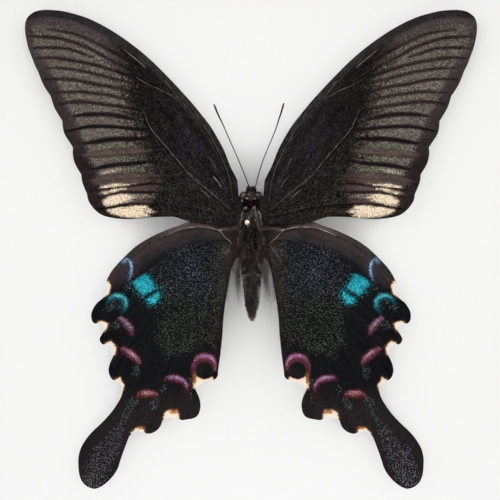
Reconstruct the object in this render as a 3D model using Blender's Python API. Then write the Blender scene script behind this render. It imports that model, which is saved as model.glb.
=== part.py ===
"""Framed butterfly specimen: a pinned swallowtail in a plain shadow-box frame.

The row frame is in metres, +Z up. The glass faces -Y, the origin is at the middle of the frame's
foot, and +X is to the right of somebody who looks at the glass.

The specimen is drawn in its own plane, in millimetres: u to the right of the body's axis, v up from
the middle of the frame, and h out of that plane, towards the glass.
"""

import math

import bmesh
import bpy
import numpy as np
from mathutils import Vector, geometry

MM = 0.001

# The frame, in millimetres
FRAME_SIDE = 180.0
FRAME_DEPTH = 40.0
FACE_WIDTH = 15.0
REBATE_WIDTH = 5.0
LIP_DEPTH = 4.0
EDGE_ROUND = 1.2
GAP = 0.3

GLASS_THICK = 2.0
SPACER_DEPTH = 22.0
BOARD_THICK = 5.0
PANEL_THICK = 2.5

OPENING_HALF = FRAME_SIDE / 2 - FACE_WIDTH
REBATE_HALF = OPENING_HALF + REBATE_WIDTH
FRONT_Y = -FRAME_DEPTH / 2
REAR_Y = FRAME_DEPTH / 2
CENTRE_Z = FRAME_SIDE / 2

# What lies behind the lip, from the front to the rear: each is the y of a front face
GLASS_Y = FRONT_Y + LIP_DEPTH + GAP
SPACER_Y = GLASS_Y + GLASS_THICK + GAP
BOARD_Y = SPACER_Y + SPACER_DEPTH + GAP
PANEL_Y = BOARD_Y + BOARD_THICK + GAP
TAB_Y = PANEL_Y + PANEL_THICK + GAP

# Steel tabs that hold the back panel in, two to a side
TAB_LENGTH = 12.0
TAB_WIDTH = 8.0
TAB_THICK = 0.5
TAB_IN_RAIL = 3.0
TAB_SPREAD = 45.0

# Sawtooth hanger on the back panel
HANGER_LENGTH = 46.0
HANGER_HEIGHT = 9.0
HANGER_THICK = 0.8
HANGER_RISE = 1.3
HANGER_TOOTH = 2.0
HANGER_TEETH = 9
HANGER_UP = 58.0
NAIL_FROM_END = 4.0
NAIL_RADIUS = 0.5
NAIL_HEAD_RADIUS = 1.5
NAIL_HEAD_THICK = 0.5
NAIL_LENGTH = 2.6

# The specimen. Its wings spread 110 mm, and their plane stands off the backing board
WING_STANDOFF = 12.0
WING_THICK = 0.35
WING_DROOP = 0.13
VEIN_RISE = 0.26
FOLD_DROP = 0.18
CREASE_WIDTH = 0.9
WING_Y = BOARD_Y - WING_STANDOFF
VIEW_DISTANCE = 456.0

# The pin goes through the thorax, a little to the left of the axis, and into the board
PIN_AT = (-0.92, 6.57)
PIN_RADIUS = 0.22
PIN_HEAD_RADIUS = 0.66
PIN_HEAD_H = 8.0
PIN_IN_BOARD = 3.6
PIN_POINT = 1.6
PIN_HOLE_RADIUS = PIN_RADIUS + GAP

BOOLEAN_OVERRUN = 2.0

# Outlines of the right-hand wings, as smooth runs that meet in corners (u, v)
FOREWING_RUNS = [
    # the root, and the shoulder of the leading edge
    [(3.15, 6.0), (3.15, 10.0), (3.1, 13.4), (3.1, 15.3), (3.3, 16.9)],
    # the leading edge and the tip
    [(3.3, 16.9), (4.1, 18.6), (5.0, 20.3), (6.5, 24.1), (8.0, 27.0), (10.0, 30.3), (12.5, 33.5),
     (15.0, 36.5), (20.0, 41.9), (25.0, 46.8), (30.0, 50.8), (35.0, 54.05), (40.0, 56.5),
     (45.0, 57.95), (48.0, 58.35), (50.5, 58.4), (52.5, 58.0), (54.1, 56.9), (54.8, 55.6),
     (55.0, 54.0), (54.8, 52.0), (54.2, 49.3), (53.4, 47.1), (52.6, 45.0), (51.8, 43.4),
     (51.2, 41.8), (50.5, 40.2), (49.6, 38.7), (48.75, 37.5)],
    # the outer margin, one scallop to each vein
    [(48.75, 37.5), (48.3, 36.0), (47.8, 34.6), (46.9, 33.0), (45.85, 31.3)],
    [(45.85, 31.3), (45.75, 29.6), (45.25, 28.0), (44.3, 26.5), (43.3, 25.0)],
    [(43.3, 25.0), (43.35, 23.2), (43.0, 21.5), (42.3, 20.0), (41.3, 18.4)],
    [(41.3, 18.4), (41.1, 16.7), (40.5, 15.0), (39.9, 13.7)],
    # the corner and the trailing edge
    [(39.9, 13.7), (39.6, 12.1), (38.9, 10.9), (38.0, 9.8), (36.6, 8.7), (34.9, 8.05), (32.0, 7.6),
     (29.5, 7.5), (26.5, 7.7), (23.5, 8.0), (19.5, 8.1), (18.2, 7.95), (16.0, 7.25), (14.5, 6.8),
     (11.0, 6.35), (7.5, 6.1), (3.15, 6.0)],
]
HINDWING_RUNS = [
    # the leading edge, which starts under the forewing
    [(3.15, 4.7), (5.0, 6.5), (8.0, 7.6), (11.5, 7.6), (14.9, 6.9), (17.0, 6.15), (20.0, 5.1),
     (22.6, 4.0), (25.0, 2.8), (27.3, 1.4), (29.3, -0.2), (32.0, -2.9), (33.5, -4.6), (34.6, -6.3),
     (35.3, -7.85)],
    # three lobes of the outer margin, each after its notch
    [(35.3, -7.85), (34.9, -8.7), (34.85, -9.7), (35.2, -10.8), (36.5, -12.1), (37.3, -12.7),
     (38.2, -13.9), (38.8, -15.2), (38.85, -16.5), (38.5, -17.5), (37.8, -17.9), (37.0, -17.65)],
    [(37.0, -17.65), (36.2, -17.95), (35.75, -18.7), (35.7, -19.5), (36.2, -20.4), (36.8, -21.5),
     (36.6, -22.4), (35.9, -23.0), (35.2, -22.8)],
    [(35.2, -22.8), (34.4, -22.95), (33.8, -23.6), (33.4, -24.5), (33.35, -25.4), (33.8, -26.4),
     (34.4, -27.8), (34.65, -29.2), (34.4, -30.5), (33.9, -31.3), (33.3, -31.7), (32.6, -31.5)],
    # the tail
    [(32.6, -31.5), (32.0, -31.9), (31.5, -32.7), (31.2, -33.5), (31.2, -34.3), (31.6, -35.7),
     (32.6, -37.5), (34.0, -39.5), (35.5, -41.2), (36.9, -42.6), (38.3, -43.9), (39.5, -45.2),
     (40.5, -46.6), (41.3, -48.0), (41.8, -49.5), (42.0, -50.9), (42.0, -52.3), (41.85, -54.1),
     (41.5, -55.5), (40.9, -56.6), (39.9, -57.5), (38.9, -57.95), (37.9, -58.1), (36.8, -57.75),
     (35.9, -57.2), (35.0, -56.5), (34.0, -55.5), (33.0, -54.2), (32.3, -52.9), (31.8, -51.3),
     (31.2, -49.5), (30.6, -47.9), (30.0, -46.3), (29.6, -45.4), (28.9, -44.6), (28.0, -44.15),
     (27.0, -44.0), (26.1, -44.25)],
    # two lobes on the inner side of the tail
    [(26.1, -44.25), (25.6, -44.55), (25.0, -44.7), (24.0, -44.5), (23.2, -44.1), (22.5, -43.5),
     (21.9, -42.6), (21.5, -41.4)],
    [(21.5, -41.4), (20.6, -40.95), (19.3, -40.75), (18.2, -40.8), (17.5, -41.1)],
    [(17.5, -41.1), (16.7, -41.4), (15.4, -41.2), (14.2, -41.0), (13.2, -40.5), (12.6, -39.6),
     (12.3, -38.3), (12.3, -37.2), (12.6, -35.9), (13.5, -33.9)],
    [(13.5, -33.9), (13.0, -33.3), (12.3, -32.5), (11.2, -32.0), (10.2, -31.75), (9.4, -31.55)],
    # the tip of the inner margin, the inner margin and the root
    [(9.4, -31.55), (8.7, -31.4), (8.1, -30.6), (8.0, -29.4), (7.7, -27.2), (7.35, -24.6),
     (6.9, -20.0), (6.75, -17.2), (6.3, -13.2), (5.7, -9.8), (5.1, -6.3), (4.7, -4.3), (4.2, -2.9),
     (3.15, -1.6)],
    [(3.15, -1.6), (3.15, 4.7)],
]

# Veins, which stand up as ridges, and the folds between them, which lie low
FOREWING_VEINS = [
    [(4.3, 11.6), (5.2, 16.0), (7.0, 22.0), (10.0, 28.0), (14.0, 33.6), (20.0, 39.8), (26.0, 45.2)],
    [(5.0, 9.8), (7.2, 14.6), (9.2, 18.6), (12.5, 26.5), (16.5, 33.6), (20.0, 37.6), (24.0, 40.0)],
    [(24.0, 40.0), (28.4, 43.2), (32.9, 45.6), (37.7, 48.3), (42.8, 50.5), (47.2, 51.6), (53.6, 51.9)],
    [(24.0, 40.0), (27.5, 41.6), (32.9, 43.6), (37.3, 44.9), (42.8, 46.0), (47.9, 46.9), (52.4, 46.9)],
    [(25.6, 37.6), (29.1, 38.4), (34.0, 39.7), (38.2, 40.4), (42.8, 41.3), (46.6, 41.7), (50.0, 41.6)],
    [(26.4, 34.0), (31.3, 34.8), (36.4, 35.5), (41.3, 36.0), (45.0, 36.0), (47.3, 35.5)],
    [(24.6, 29.6), (27.9, 29.4), (33.0, 30.0), (38.6, 30.0), (42.3, 29.6), (44.9, 29.1)],
    [(20.2, 24.2), (25.0, 23.9), (31.3, 23.4), (36.8, 23.1), (42.3, 22.7)],
    [(14.6, 18.0), (22.4, 17.9), (27.9, 17.7), (33.5, 17.4), (40.2, 16.3)],
    [(5.0, 8.2), (12.0, 9.8), (20.0, 11.2), (27.9, 11.4), (33.5, 10.5), (37.0, 10.3)],
    [(4.8, 9.4), (9.5, 13.7), (14.6, 18.0), (20.2, 24.2), (24.6, 29.6), (26.4, 34.0), (25.6, 37.6),
     (24.0, 40.0)],
]
FOREWING_FOLDS = [
    [(31.3, 46.5), (35.7, 49.6), (40.0, 51.7), (45.0, 53.4), (50.0, 53.8)],
    [(38.5, 46.8), (43.0, 48.3), (46.1, 49.1), (52.0, 49.2)],
    [(28.4, 40.1), (32.9, 41.7), (37.7, 42.8), (42.6, 43.8), (47.5, 44.3), (51.0, 44.2)],
    [(28.4, 36.3), (33.5, 37.5), (40.0, 38.4), (43.5, 38.8), (47.6, 38.3)],
    [(28.6, 31.8), (33.5, 32.8), (40.1, 33.0), (44.8, 32.4)],
    [(25.7, 26.7), (31.7, 27.1), (37.2, 26.6), (42.4, 25.7)],
    [(23.5, 21.4), (29.0, 21.2), (35.2, 20.6), (40.6, 19.4)],
    [(21.5, 16.1), (29.0, 15.5), (34.8, 14.7), (39.0, 14.0)],
    [(9.0, 16.3), (13.0, 22.5), (18.0, 29.5), (22.6, 34.5)],
]
HINDWING_VEINS = [
    [(4.6, 2.4), (8.0, 4.7), (13.0, 5.5), (18.0, 4.8), (25.0, 1.7), (30.6, -2.6), (34.0, -6.6)],
    [(4.6, 2.4), (9.0, 2.6), (14.0, 0.4), (18.0, -1.5), (25.0, -5.1), (30.0, -8.2), (34.5, -11.7),
     (38.0, -15.7)],
    [(18.6, -7.4), (22.9, -9.6), (27.0, -12.3), (31.5, -16.4), (36.0, -21.6)],
    [(18.8, -11.6), (24.0, -17.0), (29.0, -22.4), (33.6, -29.6)],
    [(17.4, -15.2), (21.0, -21.5), (25.0, -29.0), (29.0, -36.0), (33.0, -44.0), (36.6, -51.0),
     (38.2, -56.2)],
    [(17.4, -15.2), (18.6, -22.0), (20.5, -29.0), (22.5, -36.0), (24.4, -43.6)],
    [(12.6, -10.4), (13.6, -20.0), (14.6, -28.0), (14.9, -35.0), (14.6, -40.2)],
    [(4.4, -0.2), (6.4, -9.0), (8.0, -19.0), (8.6, -27.0), (8.9, -30.6)],
    [(4.4, 1.0), (8.0, -4.4), (12.6, -10.4), (17.4, -15.2), (18.8, -11.6), (18.6, -7.4), (18.0, -1.5)],
]
HINDWING_FOLDS = [
    [(12.0, 3.4), (20.0, 1.4), (26.5, -2.6), (31.0, -6.6), (34.0, -9.6)],
    [(22.0, -6.4), (27.6, -9.9), (32.5, -14.0), (35.0, -17.4)],
    [(22.6, -12.6), (28.6, -17.9), (33.2, -23.4)],
    [(21.6, -17.6), (26.8, -24.6), (31.0, -32.0)],
    [(19.9, -21.8), (22.8, -29.0), (26.0, -36.8), (27.6, -43.2)],
    [(15.6, -19.0), (17.4, -28.0), (19.2, -39.8)],
    [(10.4, -12.0), (11.2, -21.0), (11.6, -31.0)],
]

# Rings of the body, head end first: v, middle u, half width, top h and bottom h
THORAX_RINGS = [
    (10.3, 0.0, 1.1, 0.8, -1.3), (9.7, 0.0, 1.9, 1.5, -2.3), (8.4, 0.0, 2.6, 2.3, -3.2),
    (6.6, 0.0, 2.85, 2.7, -3.6), (4.6, 0.0, 2.8, 2.6, -3.7), (2.6, 0.0, 2.7, 2.2, -3.5),
    (0.9, 0.05, 2.5, 1.6, -3.1), (-0.5, 0.1, 2.1, 1.0, -2.7), (-1.2, 0.1, 1.6, 0.5, -2.2),
]
ABDOMEN_RINGS = [
    (-1.6, 0.1, 1.5, 0.5, -2.1), (-2.3, 0.12, 2.1, 0.85, -2.7), (-3.9, 0.15, 2.25, 0.95, -3.0),
    (-4.2, 0.15, 2.15, 0.85, -2.9), (-6.2, 0.2, 2.2, 0.85, -3.0), (-6.5, 0.2, 2.1, 0.75, -2.9),
    (-8.5, 0.22, 2.0, 0.6, -2.9), (-8.8, 0.22, 1.9, 0.5, -2.8), (-10.8, 0.25, 1.8, 0.35, -2.75),
    (-11.1, 0.25, 1.7, 0.25, -2.65), (-13.2, 0.25, 1.5, 0.1, -2.5), (-13.6, 0.25, 1.2, -0.1, -2.3),
    (-15.4, 0.25, 0.9, -0.45, -2.0), (-16.6, 0.25, 0.6, -0.75, -1.75), (-17.3, 0.27, 0.2, -1.05, -1.45),
]

# Lumps joined to the thorax and to the head: (u, v, h), half sizes along u, v and h
SHOULDER_PLATE = ((2.3, 8.0, 1.1), (0.72, 1.9, 0.8))
HEAD_CAPSULE = ((0.0, 12.6, -0.2), (1.7, 1.85, 1.9))
EYE = ((1.75, 13.0, -0.3), (1.25, 1.3, 1.35))
PALP = ((0.55, 14.3, -0.3), (0.55, 1.0, 0.75))

# Antennae as (u, v, h) and the radius there: a thread that ends in a club
ANTENNA_RIGHT = [
    (0.7, 14.2, 1.3, 0.14), (1.05, 15.3, 1.7, 0.12), (2.0, 19.0, 2.3, 0.12), (3.0, 22.0, 2.6, 0.12),
    (4.0, 24.5, 2.8, 0.12), (5.05, 27.0, 2.9, 0.13), (5.95, 29.2, 3.0, 0.14), (6.65, 31.4, 3.0, 0.18),
    (7.35, 33.5, 3.0, 0.24), (7.85, 35.3, 3.0, 0.25), (7.95, 35.8, 3.0, 0.14),
]
ANTENNA_LEFT = [
    (-0.2, 14.2, 1.3, 0.14), (-0.45, 15.3, 1.7, 0.12), (-1.85, 19.0, 2.3, 0.12), (-3.1, 22.0, 2.6, 0.12),
    (-4.2, 24.5, 2.8, 0.12), (-5.3, 27.0, 2.9, 0.13), (-6.25, 29.2, 3.0, 0.14), (-7.25, 31.4, 3.0, 0.18),
    (-8.2, 33.4, 3.0, 0.24), (-8.85, 35.0, 3.0, 0.25), (-9.05, 35.5, 3.0, 0.14),
]

# The coiled tongue below the head, and the right-hand legs folded under the body
TONGUE_MIDDLE = (0.0, 13.3, -3.8)
TONGUE_RADII = (0.3, 1.25)
TONGUE_TURNS = 2.1
TONGUE_RADIUS = 0.14
LEG_RADIUS = 0.22
LEGS_RIGHT = {
    "leg_fore": [(1.0, 9.0, -4.0), (2.3, 10.2, -4.9), (2.5, 11.6, -6.0), (1.5, 13.2, -7.0), (1.2, 14.4, -7.2)],
    "leg_mid": [(1.4, 5.6, -4.3), (3.8, 5.0, -5.3), (5.4, 2.6, -6.3), (5.2, 0.4, -7.2), (5.4, -1.2, -7.3)],
    "leg_hind": [(1.3, 2.6, -4.2), (2.2, 1.0, -5.0), (2.0, -2.4, -5.8), (1.2, -7.0, -6.6), (1.3, -9.4, -6.8)],
}

OUTLINE_STEP = 1.3
LINE_STEP = 4.0
RING_SIDES = 18

WOOD = ("stained_wood", (0.055, 0.032, 0.022), 0.45, 0.0)
GLASS = ("clear_glass", (0.85, 0.9, 0.9), 0.05, 0.0)
WHITE_BOARD = ("white_board", (0.88, 0.88, 0.87), 0.9, 0.0)
FIBREBOARD = ("brown_fibreboard", (0.34, 0.22, 0.13), 0.85, 0.0)
STEEL = ("bright_steel", (0.62, 0.62, 0.63), 0.35, 1.0)
BRASS = ("pin_brass", (0.8, 0.6, 0.32), 0.28, 1.0)
FOREWING_SCALES = ("forewing_scales", (0.045, 0.04, 0.038), 0.65, 0.0)
HINDWING_SCALES = ("hindwing_scales", (0.012, 0.012, 0.014), 0.6, 0.0)
BODY_HAIR = ("body_hair", (0.018, 0.016, 0.014), 0.8, 0.0)
HORN = ("black_horn", (0.01, 0.008, 0.008), 0.35, 0.0)


def clear_scene():
    for obj in list(bpy.data.objects):
        bpy.data.objects.remove(obj)


def material(finish):
    name, colour, roughness, metallic = finish
    made = bpy.data.materials.get(name)
    if made is None:
        made = bpy.data.materials.new(name)
        made.use_nodes = True
        shader = made.node_tree.nodes["Principled BSDF"]
        shader.inputs["Base Color"].default_value = (*colour, 1.0)
        shader.inputs["Roughness"].default_value = roughness
        shader.inputs["Metallic"].default_value = metallic
    return made


def at(u, v, h):
    """A point of the specimen in the row frame. What is nearer the viewer than the wings' plane looks
    larger than it is, and u and v are as they look, so they're brought back to size."""
    size = 1 - h / VIEW_DISTANCE
    return Vector((u * size * MM, (WING_Y - h) * MM, (CENTRE_Z + v * size) * MM))


def add_object(name, data, finish):
    obj = bpy.data.objects.new(name, data)
    bpy.context.scene.collection.objects.link(obj)
    data.materials.append(material(finish))
    return obj


def mesh_object(name, points, faces, finish, smooth_angle=None):
    """A closed mesh whose faces are turned to point out."""
    mesh = bpy.data.meshes.new(name)
    mesh.from_pydata([tuple(p) for p in points], [], faces)
    shape = bmesh.new()
    shape.from_mesh(mesh)
    bmesh.ops.recalc_face_normals(shape, faces=shape.faces)
    shape.to_mesh(mesh)
    shape.free()
    if smooth_angle is not None:
        mesh.shade_smooth()
        mesh.set_sharp_from_angle(angle=math.radians(smooth_angle))
    return add_object(name, mesh, finish)


def helper(obj):
    """Keeps a cutter or an added lump out of the model itself."""
    obj.hide_render = True
    obj.display_type = "WIRE"
    return obj


def combine(obj, other, operation):
    step = obj.modifiers.new(other.name, "BOOLEAN")
    step.operation = operation
    step.object = helper(other)


def box(name, low, high, finish):
    """A block between two corners, in millimetres of the row frame."""
    corners = [
        (x * MM, y * MM, z * MM) for x in (low[0], high[0]) for y in (low[1], high[1]) for z in (low[2], high[2])
    ]
    faces = [(0, 1, 3, 2), (4, 6, 7, 5), (0, 4, 5, 1), (2, 3, 7, 6), (0, 2, 6, 4), (1, 5, 7, 3)]
    return mesh_object(name, corners, faces, finish)


def skin(rings, closed_ends=True):
    """Faces that join rings of equal length, with a cap on each end."""
    sides = len(rings[0])
    points = [p for ring in rings for p in ring]
    faces = []
    for i in range(len(rings) - 1):
        for k in range(sides):
            a, b = i * sides + k, i * sides + (k + 1) % sides
            faces.append((a, b, b + sides, a + sides))
    if closed_ends:
        faces.append(tuple(range(sides)))
        faces.append(tuple(range(len(points) - sides, len(points))))
    return points, faces


def turned(name, profile, at_point, finish, sides=12):
    """A solid turned about Y. The profile is (y, radius) from front to rear, and ends on the axis."""
    x, z = at_point
    front, rear = profile[0], profile[-1]
    rings = []
    for y, radius in profile[1:-1]:
        angles = [2 * math.pi * k / sides for k in range(sides)]
        rings.append([((x + radius * math.cos(a)) * MM, y * MM, (z + radius * math.sin(a)) * MM) for a in angles])
    points, faces = skin(rings, closed_ends=False)
    for centre, first in ((front, 0), (rear, len(points) - sides)):
        points.append((x * MM, centre[0] * MM, z * MM))
        faces += [(first + k, first + (k + 1) % sides, len(points) - 1) for k in range(sides)]
    return mesh_object(name, points, faces, finish, smooth_angle=40)


def rod_cutter(name, at_point, y_from, y_to, radius):
    """A round rod along Y, for a hole."""
    profile = [(y_from, 0), (y_from, radius), (y_to, radius), (y_to, 0)]
    return turned(name, profile, at_point, BODY_HAIR)


def rail_profile():
    """The moulding as (outward from the sight edge, y), with rounded front edges and a rebate."""
    profile = [(REBATE_WIDTH, REAR_Y), (REBATE_WIDTH, FRONT_Y + LIP_DEPTH), (0.0, FRONT_Y + LIP_DEPTH)]
    corners = [((EDGE_ROUND, FRONT_Y + EDGE_ROUND), 180), ((FACE_WIDTH - EDGE_ROUND, FRONT_Y + EDGE_ROUND), 270)]
    for (middle_r, middle_y), start in corners:
        for step in range(5):
            angle = math.radians(start + 22.5 * step)
            profile.append((middle_r + EDGE_ROUND * math.cos(angle), middle_y + EDGE_ROUND * math.sin(angle)))
    profile.append((FACE_WIDTH, REAR_Y))
    return profile


def turn_in_frame(x, z, quarter):
    """Turns a place of the bottom rail round the middle of the opening, by quarters."""
    for _ in range(quarter):
        x, z = -z, x
    return x, z


def add_rail(name, quarter):
    """One mitred rail: the moulding carried from one 45 degree cut to the other."""
    rings = []
    for end in (-1, 1):
        ring = []
        for outward, y in rail_profile():
            reach = OPENING_HALF + outward
            x, z = turn_in_frame(end * (reach - GAP / 2), -reach, quarter)
            ring.append((x * MM, y * MM, (z + CENTRE_Z) * MM))
        rings.append(ring)
    points, faces = skin(rings)
    rail = mesh_object(name, points, faces, WOOD, smooth_angle=30)
    for number, along in enumerate((-TAB_SPREAD, TAB_SPREAD)):
        half = TAB_WIDTH / 2 + GAP
        corners = [
            turn_in_frame(along - half, -(REBATE_HALF - BOOLEAN_OVERRUN), quarter),
            turn_in_frame(along + half, -(REBATE_HALF + TAB_IN_RAIL + GAP), quarter),
        ]
        low = (min(c[0] for c in corners), TAB_Y - GAP, min(c[1] for c in corners) + CENTRE_Z)
        high = (max(c[0] for c in corners), TAB_Y + TAB_THICK + GAP, max(c[1] for c in corners) + CENTRE_Z)
        combine(rail, box(f"{name}_slot_{number}", low, high, WOOD), "DIFFERENCE")


def add_tab(name, quarter, along):
    """A steel tab that lies on the back panel, with its end in the rail's slot."""
    outer = REBATE_HALF + TAB_IN_RAIL
    corners = [
        turn_in_frame(along - TAB_WIDTH / 2, -(outer - TAB_LENGTH), quarter),
        turn_in_frame(along + TAB_WIDTH / 2, -outer, quarter),
    ]
    low = (min(c[0] for c in corners), TAB_Y, min(c[1] for c in corners) + CENTRE_Z)
    high = (max(c[0] for c in corners), TAB_Y + TAB_THICK, max(c[1] for c in corners) + CENTRE_Z)
    box(name, low, high, STEEL)


def add_frame():
    sides = ("bottom", "right", "top", "left")
    tab_places = {
        "bottom": ("left", "right"), "right": ("lower", "upper"), "top": ("right", "left"), "left": ("upper", "lower"),
    }
    for quarter, side in enumerate(sides):
        add_rail(f"frame_rail_{side}", quarter)
        for place, along in zip(tab_places[side], (-TAB_SPREAD, TAB_SPREAD)):
            add_tab(f"back_tab_{side}_{place}", quarter, along)


def add_spacers():
    """Four white strips round the inside, which hold the glass off the backing board."""
    outer = REBATE_HALF - GAP
    inner = OPENING_HALF + GAP
    far_y = SPACER_Y + SPACER_DEPTH
    for name, sign in (("spacer_top", 1), ("spacer_bottom", -1)):
        z = sorted((CENTRE_Z + sign * inner, CENTRE_Z + sign * outer))
        box(name, (-outer, SPACER_Y, z[0]), (outer, far_y, z[1]), WHITE_BOARD)
    for name, sign in (("spacer_right", 1), ("spacer_left", -1)):
        x = sorted((sign * inner, sign * outer))
        reach = inner - GAP
        box(name, (x[0], SPACER_Y, CENTRE_Z - reach), (x[1], far_y, CENTRE_Z + reach), WHITE_BOARD)


def add_sheets():
    """The glass, the backing board with the pin's hole, and the back panel with the nails' holes."""
    half = REBATE_HALF - GAP
    low_z, high_z = CENTRE_Z - half, CENTRE_Z + half
    box("front_glass", (-half, GLASS_Y, low_z), (half, GLASS_Y + GLASS_THICK, high_z), GLASS)
    board = box("backing_board", (-half, BOARD_Y, low_z), (half, BOARD_Y + BOARD_THICK, high_z), WHITE_BOARD)
    pin_place = (PIN_AT[0], CENTRE_Z + PIN_AT[1])
    hole = rod_cutter("pin_hole", pin_place, BOARD_Y - BOOLEAN_OVERRUN, BOARD_Y + PIN_IN_BOARD + GAP, PIN_HOLE_RADIUS)
    combine(board, hole, "DIFFERENCE")
    panel = box("back_panel", (-half, PANEL_Y, low_z), (half, PANEL_Y + PANEL_THICK, high_z), FIBREBOARD)
    for side, place in nail_places().items():
        reach = TAB_Y + HANGER_THICK - NAIL_LENGTH
        hole = rod_cutter(f"nail_hole_{side}", place, reach, TAB_Y + BOOLEAN_OVERRUN, NAIL_RADIUS + GAP)
        combine(panel, hole, "DIFFERENCE")


def nail_places():
    """Where the hanger's two nails stand, seen from the front."""
    out = HANGER_LENGTH / 2 - NAIL_FROM_END
    height = CENTRE_Z + HANGER_UP + HANGER_HEIGHT / 2
    return {"left": (-out, height), "right": (out, height)}


def add_hanger():
    """A steel strip, flat at its ends and bowed out between them, with teeth along its lower edge."""
    half = HANGER_LENGTH / 2
    toothed = half - 2.2 * NAIL_FROM_END
    pitch = 2 * toothed / HANGER_TEETH
    bottom = CENTRE_Z + HANGER_UP
    stations = [(-half, 0.0, 0.0), (-toothed - 2.0, 0.0, 0.0)]
    for k in range(2 * HANGER_TEETH + 1):
        stations.append((-toothed + k * pitch / 2, HANGER_RISE, HANGER_TOOTH * (k % 2)))
    stations += [(toothed + 2.0, 0.0, 0.0), (half, 0.0, 0.0)]
    rings = []
    for x, rise, tooth in stations:
        near, far = TAB_Y + rise, TAB_Y + rise + HANGER_THICK
        low, high = bottom + tooth, bottom + HANGER_HEIGHT
        rings.append([(x * MM, y * MM, z * MM) for y, z in ((near, low), (near, high), (far, high), (far, low))])
    points, faces = skin(rings)
    hanger = mesh_object("sawtooth_hanger", points, faces, STEEL)
    rear = TAB_Y + HANGER_THICK
    for side, place in nail_places().items():
        hole = rod_cutter(
            f"hanger_hole_{side}", place, TAB_Y - BOOLEAN_OVERRUN, rear + BOOLEAN_OVERRUN, NAIL_RADIUS + GAP
        )
        combine(hanger, hole, "DIFFERENCE")
        head = rear + GAP
        profile = [
            (head - NAIL_LENGTH, 0), (head - NAIL_LENGTH, NAIL_RADIUS), (head, NAIL_RADIUS),
            (head, NAIL_HEAD_RADIUS), (head + NAIL_HEAD_THICK, NAIL_HEAD_RADIUS * 0.8), (head + NAIL_HEAD_THICK, 0),
        ]
        turned(f"hanger_nail_{side}", profile, place, STEEL)


def smooth_run(knots, step):
    """Points about one step apart on a Catmull-Rom curve through the knots, both ends kept."""
    if len(knots) == 2:
        ends = np.array(knots, float)
        count = max(1, round(float(np.linalg.norm(ends[1] - ends[0])) / step))
        return [tuple(ends[0] + (ends[1] - ends[0]) * k / count) for k in range(count + 1)]
    known = np.array(knots, float)
    padded = np.vstack([2 * known[0] - known[1], known, 2 * known[-1] - known[-2]])
    dense = []
    for i in range(len(known) - 1):
        p0, p1, p2, p3 = padded[i : i + 4]
        for t in np.arange(0, 1, 0.1):
            a, b, c = 2 * p0 - 5 * p1 + 4 * p2 - p3, 3 * p1 - p0 - 3 * p2 + p3, p2 - p0
            dense.append(0.5 * (2 * p1 + c * t + a * t * t + b * t**3))
    dense.append(known[-1])
    dense = np.array(dense)
    lengths = np.concatenate([[0], np.cumsum(np.linalg.norm(np.diff(dense, axis=0), axis=1))])
    count = max(2, round(lengths[-1] / step))
    places = np.linspace(0, lengths[-1], count + 1)
    return list(zip(*(np.interp(places, lengths, dense[:, axis]) for axis in range(dense.shape[1]))))


def distance_to_lines(point, lines):
    """How far a point of the wing's plane is from the nearest of some polylines."""
    nearest = 1e9
    p = np.array(point, float)
    for line in lines:
        knots = np.array(line, float)
        start, run = knots[:-1], np.diff(knots, axis=0)
        share = np.clip(((p - start) * run).sum(1) / (run * run).sum(1), 0, 1)
        nearest = min(nearest, float(np.linalg.norm(start + run * share[:, None] - p, axis=1).min()))
    return nearest


def forewing_height(u, v):
    """The forewing droops from its root to its tip, its leading edge a little lower than the middle."""
    return 0.35 - WING_DROOP * (u - 3.0) - 0.0006 * (u - 0.86 * v) ** 2


def hindwing_height(u, v):
    """The hindwing lies under the forewing and falls away towards its tail."""
    return -0.95 - WING_DROOP * (u - 3.0) - 0.0007 * min(v, 0.0) ** 2


def add_wing(name, side, runs, veins, folds, height, finish):
    """A thin plate between two pleated faces: the outline and the creases, joined by triangles."""
    outline = []
    for run in runs:
        outline += smooth_run(run, OUTLINE_STEP)[:-1]
    points = [Vector(p) for p in outline]
    edges = [(i, (i + 1) % len(outline)) for i in range(len(outline))]
    for line in veins + folds:
        along = smooth_run(line, LINE_STEP)
        first = len(points)
        points += [Vector(p) for p in along]
        edges += [(first + i, first + i + 1) for i in range(len(along) - 1)]
    flat, _, triangles, *_ = geometry.delaunay_2d_cdt(points, edges, [list(range(len(outline)))], 2, 1e-4)
    middle = []
    for p in flat:
        vein, fold = distance_to_lines(p, veins), distance_to_lines(p, folds)
        crease = VEIN_RISE * math.exp(-((vein / CREASE_WIDTH) ** 2)) - FOLD_DROP * math.exp(-((fold / CREASE_WIDTH) ** 2))
        middle.append(height(p[0], p[1]) + crease)
    count = len(flat)
    solid = [at(side * p[0], p[1], h) for p, h in zip(flat, middle)]
    solid += [at(side * p[0], p[1], h - WING_THICK) for p, h in zip(flat, middle)]
    faces = [tuple(t) for t in triangles] + [tuple(i + count for i in reversed(t)) for t in triangles]
    uses = {}
    for t in triangles:
        for a, b in zip(t, t[1:] + t[:1]):
            uses.setdefault((min(a, b), max(a, b)), []).append((a, b))
    for pair in uses.values():
        if len(pair) == 1:
            a, b = pair[0]
            faces.append((b, a, a + count, b + count))
    mesh_object(name, solid, faces, finish, smooth_angle=50)


def ellipse_ring(v, middle_u, half_width, top, bottom):
    """A ring of the body, round about the body's axis."""
    middle_h, half_h = (top + bottom) / 2, (top - bottom) / 2
    angles = [2 * math.pi * k / RING_SIDES for k in range(RING_SIDES)]
    return [at(middle_u + half_width * math.cos(a), v, middle_h + half_h * math.sin(a)) for a in angles]


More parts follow.
